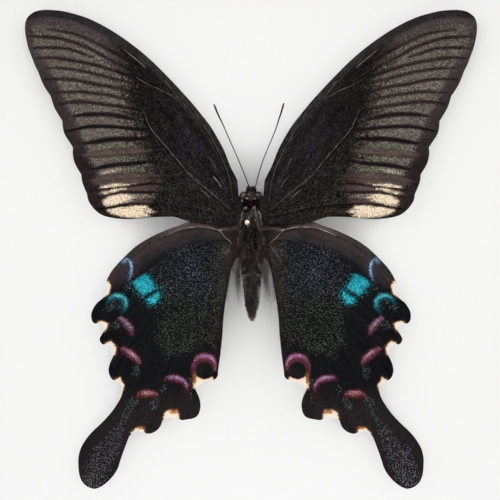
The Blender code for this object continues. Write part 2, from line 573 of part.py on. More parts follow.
def ellipsoid(name, middle, halves, finish):
    shape = bmesh.new()
    bmesh.ops.create_uvsphere(shape, u_segments=14, v_segments=8, radius=1.0)
    mesh = bpy.data.meshes.new(name)
    shape.to_mesh(mesh)
    shape.free()
    points = [at(middle[0] + p.co.x * halves[0], middle[1] + p.co.z * halves[1], middle[2] + p.co.y * halves[2])
              for p in mesh.vertices]
    faces = [tuple(f.vertices) for f in mesh.polygons]
    bpy.data.meshes.remove(mesh)
    return mesh_object(name, points, faces, finish, smooth_angle=60)


def mirrored(middle, side):
    return (side * middle[0], middle[1], middle[2])


def add_body():
    points, faces = skin([ellipse_ring(*ring) for ring in THORAX_RINGS])
    thorax = mesh_object("thorax", points, faces, BODY_HAIR, smooth_angle=60)
    points, faces = skin([ellipse_ring(*ring) for ring in ABDOMEN_RINGS])
    mesh_object("abdomen", points, faces, BODY_HAIR, smooth_angle=60)
    head = ellipsoid("head", *HEAD_CAPSULE, HORN)
    for side, word in ((-1, "left"), (1, "right")):
        plate, halves = SHOULDER_PLATE
        combine(thorax, ellipsoid(f"shoulder_plate_{word}", mirrored(plate, side), halves, BODY_HAIR), "UNION")
        for lump, (middle, halves) in (("eye", EYE), ("palp", PALP)):
            combine(head, ellipsoid(f"{lump}_{word}", mirrored(middle, side), halves, HORN), "UNION")
    reach = 6.0
    pin_place = (PIN_AT[0], CENTRE_Z + PIN_AT[1])
    combine(thorax, rod_cutter("thorax_hole", pin_place, WING_Y - reach, WING_Y + reach, PIN_HOLE_RADIUS), "DIFFERENCE")


def add_pin():
    """One turned piece: the ball head, the shaft and the point."""
    head_y = WING_Y - PIN_HEAD_H
    tip_y = BOARD_Y + PIN_IN_BOARD
    profile = [(head_y - PIN_HEAD_RADIUS, 0)]
    for degrees in range(150, 20, -24):
        angle = math.radians(degrees)
        profile.append((head_y + PIN_HEAD_RADIUS * math.cos(angle), PIN_HEAD_RADIUS * math.sin(angle)))
    neck = math.sqrt(PIN_HEAD_RADIUS**2 - PIN_RADIUS**2)
    profile += [(head_y + neck, PIN_RADIUS), (tip_y - PIN_POINT, PIN_RADIUS), (tip_y, 0)]
    turned("insect_pin", profile, (PIN_AT[0], CENTRE_Z + PIN_AT[1]), BRASS)


def add_thread(name, places, finish):
    """A round thread through (u, v, h, radius) places, as a bevelled curve with closed ends."""
    curve = bpy.data.curves.new(name, "CURVE")
    curve.dimensions = "3D"
    curve.bevel_depth = MM
    curve.bevel_resolution = 1
    curve.use_fill_caps = True
    line = curve.splines.new("POLY")
    line.points.add(len(places) - 1)
    for point, (u, v, h, radius) in zip(line.points, places):
        point.co = (*at(u, v, h), 1.0)
        point.radius = radius
    return add_object(name, curve, finish)


def add_threads():
    add_thread("antenna_left", smooth_run(ANTENNA_LEFT, 1.6), HORN)
    add_thread("antenna_right", smooth_run(ANTENNA_RIGHT, 1.6), HORN)
    spiral = []
    for t in np.linspace(0, 1, 34):
        radius = TONGUE_RADII[0] + (TONGUE_RADII[1] - TONGUE_RADII[0]) * t
        angle = math.radians(90) + 2 * math.pi * TONGUE_TURNS * t
        middle_u, middle_v, middle_h = TONGUE_MIDDLE
        spiral.append((middle_u, middle_v + radius * math.cos(angle), middle_h + radius * math.sin(angle), TONGUE_RADIUS))
    add_thread("proboscis", spiral, HORN)
    for name, knots in LEGS_RIGHT.items():
        for side, word in ((-1, "left"), (1, "right")):
            thinning = np.linspace(1.2, 0.6, len(knots))
            places = [(side * u, v, h, LEG_RADIUS * share) for (u, v, h), share in zip(knots, thinning)]
            add_thread(f"{name}_{word}", smooth_run(places, 1.2), HORN)


def add_wings():
    for side, word in ((-1, "left"), (1, "right")):
        add_wing(
            f"forewing_{word}", side, FOREWING_RUNS, FOREWING_VEINS, FOREWING_FOLDS, forewing_height, FOREWING_SCALES
        )
        add_wing(
            f"hindwing_{word}", side, HINDWING_RUNS, HINDWING_VEINS, HINDWING_FOLDS, hindwing_height, HINDWING_SCALES
        )


def main():
    clear_scene()
    add_frame()
    add_spacers()
    add_sheets()
    add_hanger()
    add_body()
    add_wings()
    add_threads()
    add_pin()


main()
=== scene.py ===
"""Dresses the framed butterfly: its wings with their scales, hairy body, wood, board and glass.

The specimen is drawn in its own plane, in millimetres: u to the right of the body's axis, v up from
the middle of the frame, and h out of that plane, towards the glass. at() takes such points to the
row frame. Colours are named by the sRGB values from 0 to 255 that they show in this light.
"""

import math

import bpy
import numpy as np
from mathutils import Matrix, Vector, geometry


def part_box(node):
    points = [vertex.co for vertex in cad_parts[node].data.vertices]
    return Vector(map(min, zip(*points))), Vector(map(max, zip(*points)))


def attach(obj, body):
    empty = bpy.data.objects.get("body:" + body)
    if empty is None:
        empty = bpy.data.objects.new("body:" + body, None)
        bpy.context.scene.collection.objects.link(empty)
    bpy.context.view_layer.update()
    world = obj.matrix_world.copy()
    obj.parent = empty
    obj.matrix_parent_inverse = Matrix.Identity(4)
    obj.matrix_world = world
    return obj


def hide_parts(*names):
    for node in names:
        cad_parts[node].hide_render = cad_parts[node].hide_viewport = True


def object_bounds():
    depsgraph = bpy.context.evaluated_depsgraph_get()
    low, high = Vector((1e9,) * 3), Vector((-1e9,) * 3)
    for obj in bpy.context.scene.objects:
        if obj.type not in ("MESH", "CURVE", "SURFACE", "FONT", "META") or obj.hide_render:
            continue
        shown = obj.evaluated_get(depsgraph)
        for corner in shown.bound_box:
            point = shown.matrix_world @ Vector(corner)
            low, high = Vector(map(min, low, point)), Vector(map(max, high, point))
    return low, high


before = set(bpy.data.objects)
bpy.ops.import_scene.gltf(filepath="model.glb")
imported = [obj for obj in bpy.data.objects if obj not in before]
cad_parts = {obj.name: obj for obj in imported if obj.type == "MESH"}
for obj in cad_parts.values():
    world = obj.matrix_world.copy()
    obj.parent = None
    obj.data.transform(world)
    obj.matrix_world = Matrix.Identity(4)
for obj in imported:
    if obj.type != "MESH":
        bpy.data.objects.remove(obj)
CAD_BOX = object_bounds()

MM = 0.001
WING_STANDOFF = 12.0
WING_DROOP = 0.13
VIEW_DISTANCE = 456.0
BOARD_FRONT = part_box("backing_board")[0].y / MM
WING_Y = BOARD_FRONT - WING_STANDOFF
CENTRE_Z = (CAD_BOX[0].z + CAD_BOX[1].z) / 2 / MM

# Wing sheets: the spacing of their points, above and below, and their relief
TOP_SPACING = 0.16
UNDER_SPACING = 0.4
SHEET_THICK = 0.12
VEIN_RISE = 0.17
VEIN_REACH = 0.3
FOLD_DROP = 0.2
FOLD_REACH = 0.75
RIPPLE = 0.09

# Raw light that white sends back at the wings, and the share of it that the scales' gloss sends back
LIGHT_LEVEL = 1.75
SCALE_GLOSS = 0.0045
# The view transform: how much it takes off dark colours, how bright a peak it bends, and the numbers of both
TOE = 0.04
TOE_BEND = 6.25
KNEE = 0.76
KNEE_FOOT = 0.52
KNEE_BEND = 0.0576
# The highest peak that is turned round, and the limits of a base colour
HIGHEST_PEAK = 0.96
DARKEST_BASE = 0.001
LIGHTEST_BASE = 0.93

# Points of a curve between two knots, the step along routes that hair stands on, and the lattice of the noise
CURVE_STEPS = 12
FINE_STEP = 0.05
LATTICE = 97
LATTICE_SHIFT = 300
# How the wing's cell runs, in degrees, and how far a bow is moved to find its outer side
CELL_ANGLE = 58
BOW_SHIFT = 0.25
# Cover of the grey and cream scales, the cover where loose scales close up, and the shingle beneath them
GREY_COVER = 0.89
CREAM_COVER = 0.87
CLOSING = 0.9
SHINGLE_PER_METRE = 8200.0
FACETS_PER_METRE = 11000.0

BOTH_SIDES = (-1, 1)
SIDES = ((-1, "left"), (1, "right"))
# A hair's points, and the share of its length and of its radius at each ring
HAIR_POINTS = 10
HAIR_RINGS = ((0.0, 1.0), (0.4, 0.85), (0.75, 0.5))
# The height h that stands for no surface
FAR_BELOW = -9.0

# The pin: where it stands, the radii of its head and shaft, and the length and end of its point
PIN_AT = (-0.92, 6.57)
PIN_HEAD_RADIUS = 0.66
PIN_RADIUS = 0.22
PIN_POINT = 1.6
PIN_POINT_RADIUS = 0.02

# Outlines of the right-hand wings, as smooth runs that meet in corners (u, v)
FOREWING_RUNS = [
    [(2, 6), (2, 12.3), (2.5, 12.8), (3, 13.4), (3.15, 15.3), (3.3, 16.9)],
    [(3.3, 16.9), (4.1, 18.6), (5, 20.3), (6.5, 24.1), (8, 27), (10, 30.3), (12.5, 33.5), (15, 36.5),
     (20, 41.9), (25, 46.8), (30, 50.8), (35, 54.05), (40, 56.5), (45, 57.95), (48, 58.35), (50.5, 58.4),
     (52.5, 58), (54.1, 56.9), (54.8, 55.6), (55, 54), (54.8, 52), (54.2, 49.3), (53.4, 47.1), (52.6, 45),
     (51.8, 43.4), (51.2, 41.8), (50.5, 40.2), (49.6, 38.7), (48.75, 37.5)],
    [(48.75, 37.5), (48.3, 36), (47.8, 34.6), (46.9, 33), (45.85, 31.3)],
    [(45.85, 31.3), (45.75, 29.6), (45.25, 28), (44.3, 26.5), (43.3, 25)],
    [(43.3, 25), (43.35, 23.2), (43, 21.5), (42.3, 20), (41.3, 18.4)],
    [(41.3, 18.4), (41.1, 16.7), (40.5, 15), (39.9, 13.7)],
    [(39.9, 13.7), (39.6, 12.1), (38.9, 10.9), (38, 9.8), (36.6, 8.7), (34.9, 8.05), (32, 7.6), (29.5, 7.5),
     (26.5, 7.7), (23.5, 8), (19.5, 8.1), (18.2, 7.95), (16, 7.25), (14.5, 6.8), (11, 6.35), (7.5, 6.1),
     (2, 6)],
]
HINDWING_RUNS = [
    [(2, 6.7), (3.4, 6.7), (5.2, 7), (8, 7.6), (11.5, 7.6), (14.9, 6.9), (17, 6.15), (20, 5.1), (22.6, 4),
     (25, 2.8), (27.3, 1.4), (29.3, -0.2), (32, -2.9), (33.5, -4.6), (34.6, -6.3), (35.3, -7.85)],
    [(35.3, -7.85), (34.9, -8.7), (34.85, -9.7), (35.2, -10.8), (36.5, -12.1), (37.3, -12.7), (38.2, -13.9),
     (38.8, -15.2), (38.85, -16.5), (38.5, -17.5), (37.8, -17.9), (37, -17.65)],
    [(37, -17.65), (36.2, -17.95), (35.75, -18.7), (35.7, -19.5), (36.2, -20.4), (36.8, -21.5),
     (36.6, -22.4), (35.9, -23), (35.2, -22.8)],
    [(35.2, -22.8), (34.4, -22.95), (33.8, -23.6), (33.4, -24.5), (33.35, -25.4), (33.8, -26.4),
     (34.4, -27.8), (34.65, -29.2), (34.4, -30.5), (33.9, -31.3), (33.3, -31.7), (32.6, -31.5)],
    [(32.6, -31.5), (32, -31.9), (31.5, -32.7), (31.2, -33.5), (31.2, -34.3), (31.6, -35.7), (32.6, -37.5),
     (34, -39.5), (35.5, -41.2), (36.9, -42.6), (38.3, -43.9), (39.5, -45.2), (40.5, -46.6), (41.3, -48),
     (41.8, -49.5), (42, -50.9), (42, -52.3), (41.85, -54.1), (41.5, -55.5), (40.9, -56.6), (39.9, -57.5),
     (38.9, -57.95), (37.9, -58.1), (36.8, -57.75), (35.9, -57.2), (35, -56.5), (34, -55.5), (33, -54.2),
     (32.3, -52.9), (31.8, -51.3), (31.2, -49.5), (30.6, -47.9), (30, -46.3), (29.6, -45.4), (28.9, -44.6),
     (28, -44.15), (27, -44), (26.1, -44.25)],
    [(26.1, -44.25), (25.6, -44.55), (25, -44.7), (24, -44.5), (23.2, -44.1), (22.5, -43.5), (21.9, -42.6),
     (21.5, -41.4)],
    [(21.5, -41.4), (20.6, -40.95), (19.3, -40.75), (18.2, -40.8), (17.5, -41.1)],
    [(17.5, -41.1), (16.7, -41.4), (15.4, -41.2), (14.2, -41), (13.2, -40.5), (12.6, -39.6), (12.3, -38.3),
     (12.3, -37.2), (12.6, -35.9), (13.5, -33.9)],
    [(13.5, -33.9), (13, -33.3), (12.3, -32.5), (11.2, -32), (10.2, -31.75), (9.4, -31.55)],
    [(9.4, -31.55), (8.7, -31.4), (8.1, -30.6), (8, -29.4), (7.7, -27.2), (7.35, -24.6), (6.9, -20),
     (6.75, -17.2), (6.3, -13.2), (5.7, -9.8), (5.1, -6.3), (4.7, -4.3), (4.2, -2.9), (3.5, -2),
     (2.9, -1.75), (2, -1.6)],
    [(2, -1.6), (2, 6.7)],
]

# Dark strokes along the forewing's veins and folds: half width in the middle, then the route
FOREWING_STROKES = [
    (0.3, [(29, 45.5), (33, 47.8), (37.3, 50.2), (43, 52.6), (49.5, 53.7)]),
    (0.36, [(28.9, 43.5), (31.5, 45.1), (36, 47.2), (40, 49.4), (46.1, 51.4), (51, 51.9), (54.7, 52)]),
    (0.3, [(38.5, 46.9), (41.7, 48), (45, 49), (50, 49.2), (53.8, 49)]),
    (0.36, [(24, 39.9), (28.4, 42.1), (31.3, 43), (37.3, 44.9), (42.8, 46), (48.3, 46.8), (53.4, 46.5)]),
    (0.3, [(28.2, 40.2), (31.3, 41.1), (35, 42.1), (40, 43.3), (45, 44.1), (49.7, 44.3)]),
    (0.36, [(25, 37.7), (28.8, 38.4), (32.9, 39.6), (37.3, 40.2), (41, 41), (45, 41.6), (50.8, 41.5)]),
    (0.32, [(28.2, 36), (31.3, 36.9), (35, 37.7), (38.2, 38.1), (41.7, 38.5), (47.5, 38.3)]),
    (0.38, [(26.3, 33.9), (30, 34.7), (36, 35.5), (40, 36), (43, 36.05), (47.8, 35.5)]),
    (0.52, [(28, 31.5), (31.7, 32.5), (36, 33), (40.5, 32.9), (43.2, 32.5)]),
    (0.36, [(24.7, 29.6), (28.4, 29.5), (31.7, 29.85), (35.7, 30.1), (40, 29.95), (44.8, 28.9)]),
    (0.55, [(25.5, 26.9), (30, 27), (33.9, 26.9), (37.9, 26.3), (40.8, 25.9)]),
    (0.46, [(24, 21.6), (28.4, 21), (33.5, 20.6), (38.8, 19.6)]),
    (0.24, [(21.5, 16), (25, 16.05), (30.4, 15.4), (35, 14.9), (37.6, 14.5)]),
    (0.3, [(22, 14), (28.4, 14.1), (31.7, 13.9), (35, 13.2), (37, 12.7)]),
    (0.34, [(24, 11.2), (30, 11.1), (33.5, 10.4), (36.6, 9.9)]),
]
# Plain brown bands with no grey scales: half width, then the route
FOREWING_BANDS = [
    (0.75, [(24.5, 24.1), (30, 23.9), (35.7, 23.4), (40.6, 22.9)]),
    (1.15, [(20.5, 17.5), (25, 17.6), (30, 17.5), (35, 17), (40, 16.3)]),
    (0.8, [(20.5, 15), (25, 15), (29, 14.8), (32, 14.7)]),
    (0.45, [(24, 11.8), (28, 11.6), (31, 11.3)]),
]
GREY_FIELD = [
    (29, 46.5), (30, 48), (33, 49.7), (37.3, 52.2), (42.4, 54.1), (46.5, 55.9), (50, 56.3), (52.5, 56),
    (54, 54.8), (53.9, 50.5), (52.8, 48), (50.8, 45.5), (49.2, 43), (47.6, 40), (46.2, 37), (45.3, 34.5),
    (43.2, 31.3), (42.2, 28), (40.7, 25.3), (40, 22), (38.4, 19.5), (37.5, 17), (36.9, 15), (36.2, 12),
    (35.5, 10), (28, 10.6), (22, 12.5), (20.5, 17), (22.5, 19.5), (23.5, 22), (24.5, 24.5), (24.5, 28.5),
    (25, 31), (26, 34.5), (25, 39), (25.5, 42),
]
GREY_FADE = [
    (31.5, 51), (28.8, 46), (26.8, 41.5), (26.4, 38), (26, 34), (24.6, 31), (23.6, 28), (22.6, 24.5),
    (21, 21), (18.5, 17.5), (18.5, 13),
]
GREEN_ROWS = [
    (0.35, [(28.5, 25.45), (32, 25.5), (37, 25.1)]),
    (0.3, [(27, 22.45), (31, 22.35), (36.5, 22)]),
    (0.35, [(25, 19.8), (29, 19.8), (34, 19.3)]),
    (0.4, [(32, 43.6), (38, 45.2), (44, 46.4)]),
    (0.4, [(28, 41.4), (34, 43), (40, 44.3)]),
]
# Streaks in the discal cell, purple or black, all along it: half width, strength, route
MAUVE_STREAKS = [
    (0.4, 0.8, [(5.6, 13.6), (6.6, 16), (8, 18.8), (9.6, 21.6), (12, 25)]),
    (0.8, 0.45, [(12, 23), (15, 27.5), (18.5, 32)]),
    (0.5, 0.6, [(13, 18.6), (16, 22), (19, 25.6)]),
    (0.5, 0.5, [(16, 29), (19.5, 34), (22.5, 37)]),
]
# Cream patches: where in u their left tips begin and stop to dissolve, then the outline
CREAM_PATCHES = [
    (25.6, 32,
     [(26, 12.9), (28, 13.3), (29.2, 13.6), (31, 13.7), (33, 13.6), (34.6, 13.1), (35.2, 12.5),
      (35.7, 11.9), (35.7, 11.3), (35.1, 10.9), (34, 10.8), (32.5, 11.1), (31.4, 11.6), (30, 11.95),
      (28.4, 12.2)]),
    (22, 27.6,
     [(22.6, 9.2), (24.3, 10.2), (25.5, 10.9), (27.2, 10.85), (29, 10.7), (31, 10.55), (33, 10.45),
      (34.4, 10), (35, 9.5), (34, 8.8), (32, 8.2), (30, 8), (27, 8.1), (25, 8.3), (23.8, 8.6)]),
]
# Streaks of cream scales: half width, strength, route
CREAM_STREAKS = [
    (0.5, 1.15, [(29.8, 15.75), (31.6, 15.8), (33.2, 15.65), (34.6, 15.45), (36.4, 15.15)]),
    (0.44, 1, [(30.6, 14.95), (31.8, 14.95), (33, 14.7), (34.2, 14.25), (35.4, 13.75)]),
    (0.5, 0.5, [(34, 15.45), (35.4, 15.25), (36.9, 14.9)]),
    (0.45, 0.35, [(34.6, 14.3), (35.8, 14), (36.8, 13.7)]),
    (0.4, 0.3, [(27.4, 16.2), (30.2, 16.1)]),
    (0.5, 0.2, [(24, 13), (26, 13.2), (28, 13)]),
    (0.5, 0.36, [(31.8, 19.6), (34.2, 19.15), (36.2, 18.6)]),
    (0.45, 0.1, [(32, 22.5), (37, 21.9)]),
]
# Streaks of loose golden scales between the base and the cream patches: half width, cover, route
GOLD_STREAKS = [
    (1.1, 0.6, [(13.5, 8.6), (18, 9.1), (21.5, 9.3), (24.5, 9.3)]),
    (0.6, 0.24, [(17.5, 12.9), (21, 13), (27, 13.2)]),
    (0.5, 0.45, [(19, 19.6), (22, 19.8), (25, 19.7)]),
    (0.5, 0.42, [(20.5, 22.4), (23, 22.4), (26, 22.4)]),
    (0.6, 0.42, [(20.5, 25.4), (24, 25.4), (27, 25.4)]),
]
COSTAL_RIDGE = [(35.0, 51.2), (39.5, 53.4), (44.5, 55.2), (50.0, 56.0), (53.0, 55.6)]
COSTAL_INNER = [
    (3.6, 12), (5.6, 18), (8.5, 24.5), (12, 30.5), (17, 36.6), (22, 41.6), (26.5, 45.6), (30, 48.6),
    (35, 51.6), (40, 53.8), (45, 55.7), (50, 56.7),
]
DISCAL_CELL = [
    (5.5, 12), (7.5, 22), (11.5, 29.5), (17, 36), (21.5, 39), (24.5, 38.8), (25, 34.5), (23.5, 30.3),
    (20, 25), (15.5, 19.6), (10.5, 15.3),
]
FOREWING_PALE_VEINS = [
    (0.055, 0.34,
     [(4.4, 11.3), (4.6, 13.5), (5, 16.5), (5.6, 18.5), (6.5, 21), (7.5, 23), (9, 26), (11, 29.3),
      (12.5, 31), (15, 34), (17.7, 37), (20, 39.7), (22.4, 41.9)]),
    (0.045, 0.2,
     [(6.3, 18.5), (8.2, 23.2), (10.6, 27.5), (13.2, 31), (16.2, 34.5), (19, 37.6), (21.6, 40)]),
    (0.06, 0.45,
     [(5.2, 10), (7.5, 12), (10, 14.2), (12, 15.8), (14, 17.3), (16, 19.5), (18.5, 22.6), (20.7, 25.2),
      (22.3, 27), (24, 29), (24.9, 30.5), (26, 33.3), (26.4, 34.2)]),
    (0.09, 0.55, [(7.2, 15), (8, 16.5), (9.2, 17.9)]),
    (0.09, 0.25, [(8.6, 20), (9.2, 21.1), (9.9, 22.4)]),
    (0.09, 0.5, [(10, 12.7), (11, 13.7), (12, 14.6)]),
    (0.06, 0.45, [(18.5, 37), (20, 37.9), (22.5, 39.2), (24.5, 40), (28, 42)]),
    (0.07, 0.6, [(19.9, 40), (20.4, 40.7), (21, 41.2)]),
    (0.08, 0.6, [(25.5, 44.2), (27.5, 46), (29, 47.2), (31, 48.9)]),
]

# Veins and folds that shape both sheets
FOREWING_VEINS = [
    [(4.3, 11.6), (5.2, 16), (7, 22), (10, 28), (14, 33.6), (20, 39.8), (26, 45.2)],
    [(24, 40), (28.4, 43.2), (32.9, 45.6), (37.7, 48.3), (42.8, 50.5), (47.2, 51.6), (53.6, 51.9)],
    [(24, 40), (27.5, 41.6), (32.9, 43.6), (37.3, 44.9), (42.8, 46), (47.9, 46.9), (52.4, 46.9)],
    [(25.6, 37.6), (29.1, 38.4), (34, 39.7), (38.2, 40.4), (42.8, 41.3), (46.6, 41.7), (50, 41.6)],
    [(26.4, 34), (31.3, 34.8), (36.4, 35.5), (41.3, 36), (45, 36), (47.3, 35.5)],
    [(24.6, 29.6), (27.9, 29.4), (33, 30), (38.6, 30), (42.3, 29.6), (44.9, 29.1)],
    [(20.2, 24.2), (25, 23.9), (31.3, 23.4), (36.8, 23.1), (42.3, 22.7)],
    [(14.6, 18), (22.4, 17.9), (27.9, 17.7), (33.5, 17.4), (40.2, 16.3)],
    [(5, 8.2), (12, 9.8), (20, 11.2), (27.9, 11.4), (33.5, 10.5), (37, 10.3)],
    [(4.8, 9.4), (9.5, 13.7), (14.6, 18), (20.2, 24.2), (24.6, 29.6), (26.4, 34), (25.6, 37.6), (24, 40)],
]
FOREWING_FOLDS = [
    [(31.3, 46.5), (35.7, 49.6), (40, 51.7), (45, 53.4), (50, 53.8)],
    [(38.5, 46.8), (43, 48.3), (46.1, 49.1), (52, 49.2)],
    [(28.4, 40.1), (32.9, 41.7), (37.7, 42.8), (42.6, 43.8), (47.5, 44.3), (51, 44.2)],
    [(28.4, 36.3), (33.5, 37.5), (40, 38.4), (43.5, 38.8), (47.6, 38.3)],
    [(28.6, 31.8), (33.5, 32.8), (40.1, 33), (44.8, 32.4)],
    [(25.7, 26.7), (31.7, 27.1), (37.2, 26.6), (42.4, 25.7)],
    [(23.5, 21.4), (29, 21.2), (35.2, 20.6), (40.6, 19.4)],
    [(21.5, 16.1), (29, 15.5), (34.8, 14.7), (39, 14)],
    [(9, 16.3), (13, 22.5), (18, 29.5), (22.6, 34.5)],
]
HINDWING_VEINS = [
    [(4.6, 2.4), (8, 4.7), (13, 5.5), (18, 4.8), (25, 1.7), (30.6, -2.6), (34, -6.6)],
    [(4.6, 2.4), (9, 2.6), (14, 0.4), (18, -1.5), (25, -5.1), (30, -8.2), (34.5, -11.7), (38, -15.7)],
    [(18.6, -7.4), (22.9, -9.6), (27, -12.3), (31.5, -16.4), (36, -21.6)],
    [(18.8, -11.6), (24, -17), (29, -22.4), (33.6, -29.6)],
    [(17.4, -15.2), (21, -21.5), (25, -29), (29, -36), (33, -44), (36.6, -51), (38.2, -56.2)],
    [(17.4, -15.2), (18.6, -22), (20.5, -29), (22.5, -36), (24.4, -43.6)],
    [(12.6, -10.4), (13.6, -20), (14.6, -28), (14.9, -35), (14.6, -40.2)],
    [(4.4, -0.2), (6.4, -9), (8, -19), (8.6, -27), (8.9, -30.6)],
    [(4.4, 1), (8, -4.4), (12.6, -10.4), (17.4, -15.2), (18.8, -11.6), (18.6, -7.4), (18, -1.5)],
]
HINDWING_FOLDS = [
    [(12, 3.4), (20, 1.4), (26.5, -2.6), (31, -6.6), (34, -9.6)],
    [(22, -6.4), (27.6, -9.9), (32.5, -14), (35, -17.4)],
    [(22.6, -12.6), (28.6, -17.9), (33.2, -23.4)],
    [(21.6, -17.6), (26.8, -24.6), (31, -32)],
    [(19.9, -21.8), (22.8, -29), (26, -36.8), (27.6, -43.2)],
    [(15.6, -19), (17.4, -28), (19.2, -39.8)],
    [(10.4, -12), (11.2, -21), (11.6, -31)],
]

# Hindwing markings
COSTAL_VEIN = [
    (3.6, 1.8), (5.2, 2.3), (6.2, 3), (7.3, 4.3), (8.2, 4.9), (10, 5.4), (12, 5.6), (14.5, 5.5), (17, 5),
    (20, 3.7),
]
BROWN_EDGE = [
    (3, 1), (9, 2.4), (14, 2.2), (18, 0.9), (22, -0.9), (26, -3.4), (29, -7.2), (33, -9), (40, -9),
    (40, 12), (3, 12),
]
SPECK_FIELD = [
    (4, 0.6), (7, 1.2), (10, 1.8), (14, 1.8), (18, 0.3), (21, -1.2), (24, -3.6), (26, -6.5), (24, -10),
    (22, -13), (23.2, -17), (23.6, -20.5), (22.4, -24), (20.5, -27.2), (17.5, -25.6), (15, -25.6),
    (13, -24.2), (11, -23.2), (8.6, -24), (7.9, -22), (7.3, -18), (6.6, -12), (5.4, -5),
]
CYAN_PATCH = [
    [(24.3, -6.9), (25.2, -5.6), (26.3, -5.8), (27.6, -6.6), (28.8, -7.4), (29, -8.1), (28.2, -9.5),
     (27.3, -10.5), (26.3, -11.4), (25, -10.6), (22.9, -9.4)],
    [(21.9, -10.3), (22.1, -12), (23.2, -13.3), (24.9, -13.4), (25.5, -12.4), (25.9, -11.9), (24.4, -10.9),
     (22.6, -9.9)],
]
CYAN_VEINS = [
    [(22.2, -9.4), (24.3, -10.5), (26, -11.7), (27.4, -12.8)],
    [(27.4, -10.4), (28.6, -9.2)],
    [(24.8, -5.1), (26.8, -5.9), (28.8, -7.2), (30.4, -8.4)],
]
# Crescents: colour of the core, colour of the rim, a point inside the bow, then the route with its half
# width and its strength
LUNULES = [
    ((182, 216, 242), (80, 106, 138), (32.5, -5),
     [(31.4, -3.4, 0.5, 0.5), (30.6, -2.5, 0.65, 0.75), (29.9, -2.5, 0.65, 0.7), (29.35, -3.4, 0.7, 1),
      (29.2, -4.6, 0.7, 0.8), (29.3, -5.8, 0.65, 0.75), (29.7, -7.2, 0.45, 0.55)]),
    ((112, 220, 228), (56, 122, 138), (33, -13.6),
     [(34.9, -12.9, 0.55, 0.4), (34.1, -11.8, 0.7, 0.6), (33.2, -11.3, 0.8, 1), (32, -11.3, 0.85, 0.95),
      (31, -11.9, 0.85, 0.9), (30.6, -13, 0.85, 0.8), (30.8, -14.2, 0.7, 0.5), (31.4, -15.4, 0.45, 0.4)]),
    ((186, 162, 200), (138, 92, 100), (31.6, -19.4),
     [(31.7, -16.7, 0.75, 0.7), (30.9, -17.4, 0.9, 0.85), (30.1, -18.3, 0.95, 0.9), (29.4, -19.3, 0.9, 0.7),
      (29, -20.1, 0.7, 0.5)]),
    ((206, 162, 188), (142, 80, 88), (30.6, -27.6),
     [(30.9, -24.3, 0.85, 0.6), (30, -24.8, 1, 0.8), (29, -25.5, 1.05, 1), (28.1, -26.3, 1, 0.75),
      (27.4, -27.2, 0.8, 0.6)]),
    ((222, 170, 182), (150, 80, 80), (25.3, -38),
     [(23.5, -35.1, 0.85, 0.6), (24.4, -34.95, 1, 0.8), (25.3, -34.9, 1, 1), (26.2, -34.95, 1, 0.75),
      (27, -35.15, 0.85, 0.55)]),
    ((208, 170, 216), (142, 84, 96), (18.6, -35),
     [(15.5, -36.3, 0.4, 0.2), (15.5, -34.4, 0.55, 0.42), (15.8, -32.8, 0.75, 0.7),
      (16.7, -31.8, 0.85, 0.8), (18, -31.3, 0.9, 1), (19.3, -31.15, 0.85, 0.8), (20.3, -31.1, 0.75, 0.55),
      (21, -31.6, 0.5, 0.4)]),
    ((206, 150, 204), (146, 88, 96), (11.35, -29.4),
     [(8.8, -29.2, 0.35, 0.6), (8.75, -27.9, 0.55, 0.8), (9.3, -26.8, 0.8, 0.9), (10.3, -26.05, 0.9, 1),
      (11.5, -25.95, 0.9, 1), (12.7, -26.2, 0.8, 0.75), (13.6, -27.1, 0.6, 0.6), (14.15, -28.6, 0.45, 0.55),
      (14.25, -30.2, 0.3, 0.4), (14.2, -31.5, 0.2, 0.2)]),
]
EYESPOT = (11.35, -29.25)
EYESPOT_RADIUS = 2.08
# Cream fringe in the notches: its inner edge, closed over the outline's notch
FRINGES = [
    [(35.6, -7.4), (34.6, -7.8), (34.2, -8.6), (34.35, -9.4), (34.3, -10), (34.8, -10.7), (35.6, -11.4),
     (37, -10.5), (36.6, -8)],
    [(37.2, -17.5), (36.3, -17.3), (35.6, -17.6), (34.7, -18), (35, -18.8), (35.6, -19.7), (37, -19.6)],
    [(35.4, -22.7), (34.6, -22.3), (34, -22.1), (33.5, -22.7), (33.3, -23.1), (32.7, -23.6), (32.8, -24.6),
     (33.1, -25.5), (34.2, -25.4), (35.2, -24)],
    [(32.8, -31.3), (31.9, -31), (31.5, -31.9), (30.9, -32.7), (31.1, -34), (32, -34), (33.2, -32.4)],
    [(29.2, -44.4), (27.9, -43.3), (27.2, -43.15), (26.4, -43), (25.9, -44.1), (26.3, -45.2),
     (28.6, -45.2)],
    [(21.4, -41), (21.2, -40.4), (20.7, -39.3), (19.9, -38.9), (18.9, -39.1), (18, -39), (17.7, -39.6),
     (17.5, -41), (18.5, -42), (20.8, -42)],
    [(9.3, -31.5), (9.5, -30.9), (10.5, -31.2), (11.5, -31.5), (12.5, -31.2), (13.3, -30.8), (14, -31.9),
     (13.9, -33.6), (12.4, -34.2), (10, -33)],
]
ORANGE_SPOTS = [((13.65, -31.2), 0.6, 2.1), ((18.9, -39.3), 1.5, 0.75), ((26.7, -43.3), 1.3, 0.5)]
# A brown-pink streak at the hindwing's root, made lighter as painted light against the shadow that the
# forewing's edge casts there
ROOT_LIGHTENED_STREAK = [(3.8, 5.4), (5.6, 5.3), (7.6, 5)]
TAIL_LINE = [
    (28, -36), (30, -39.2), (32, -43.5), (34, -47.2), (36.2, -50.4), (37.6, -53.6), (38.2, -55.6),
]
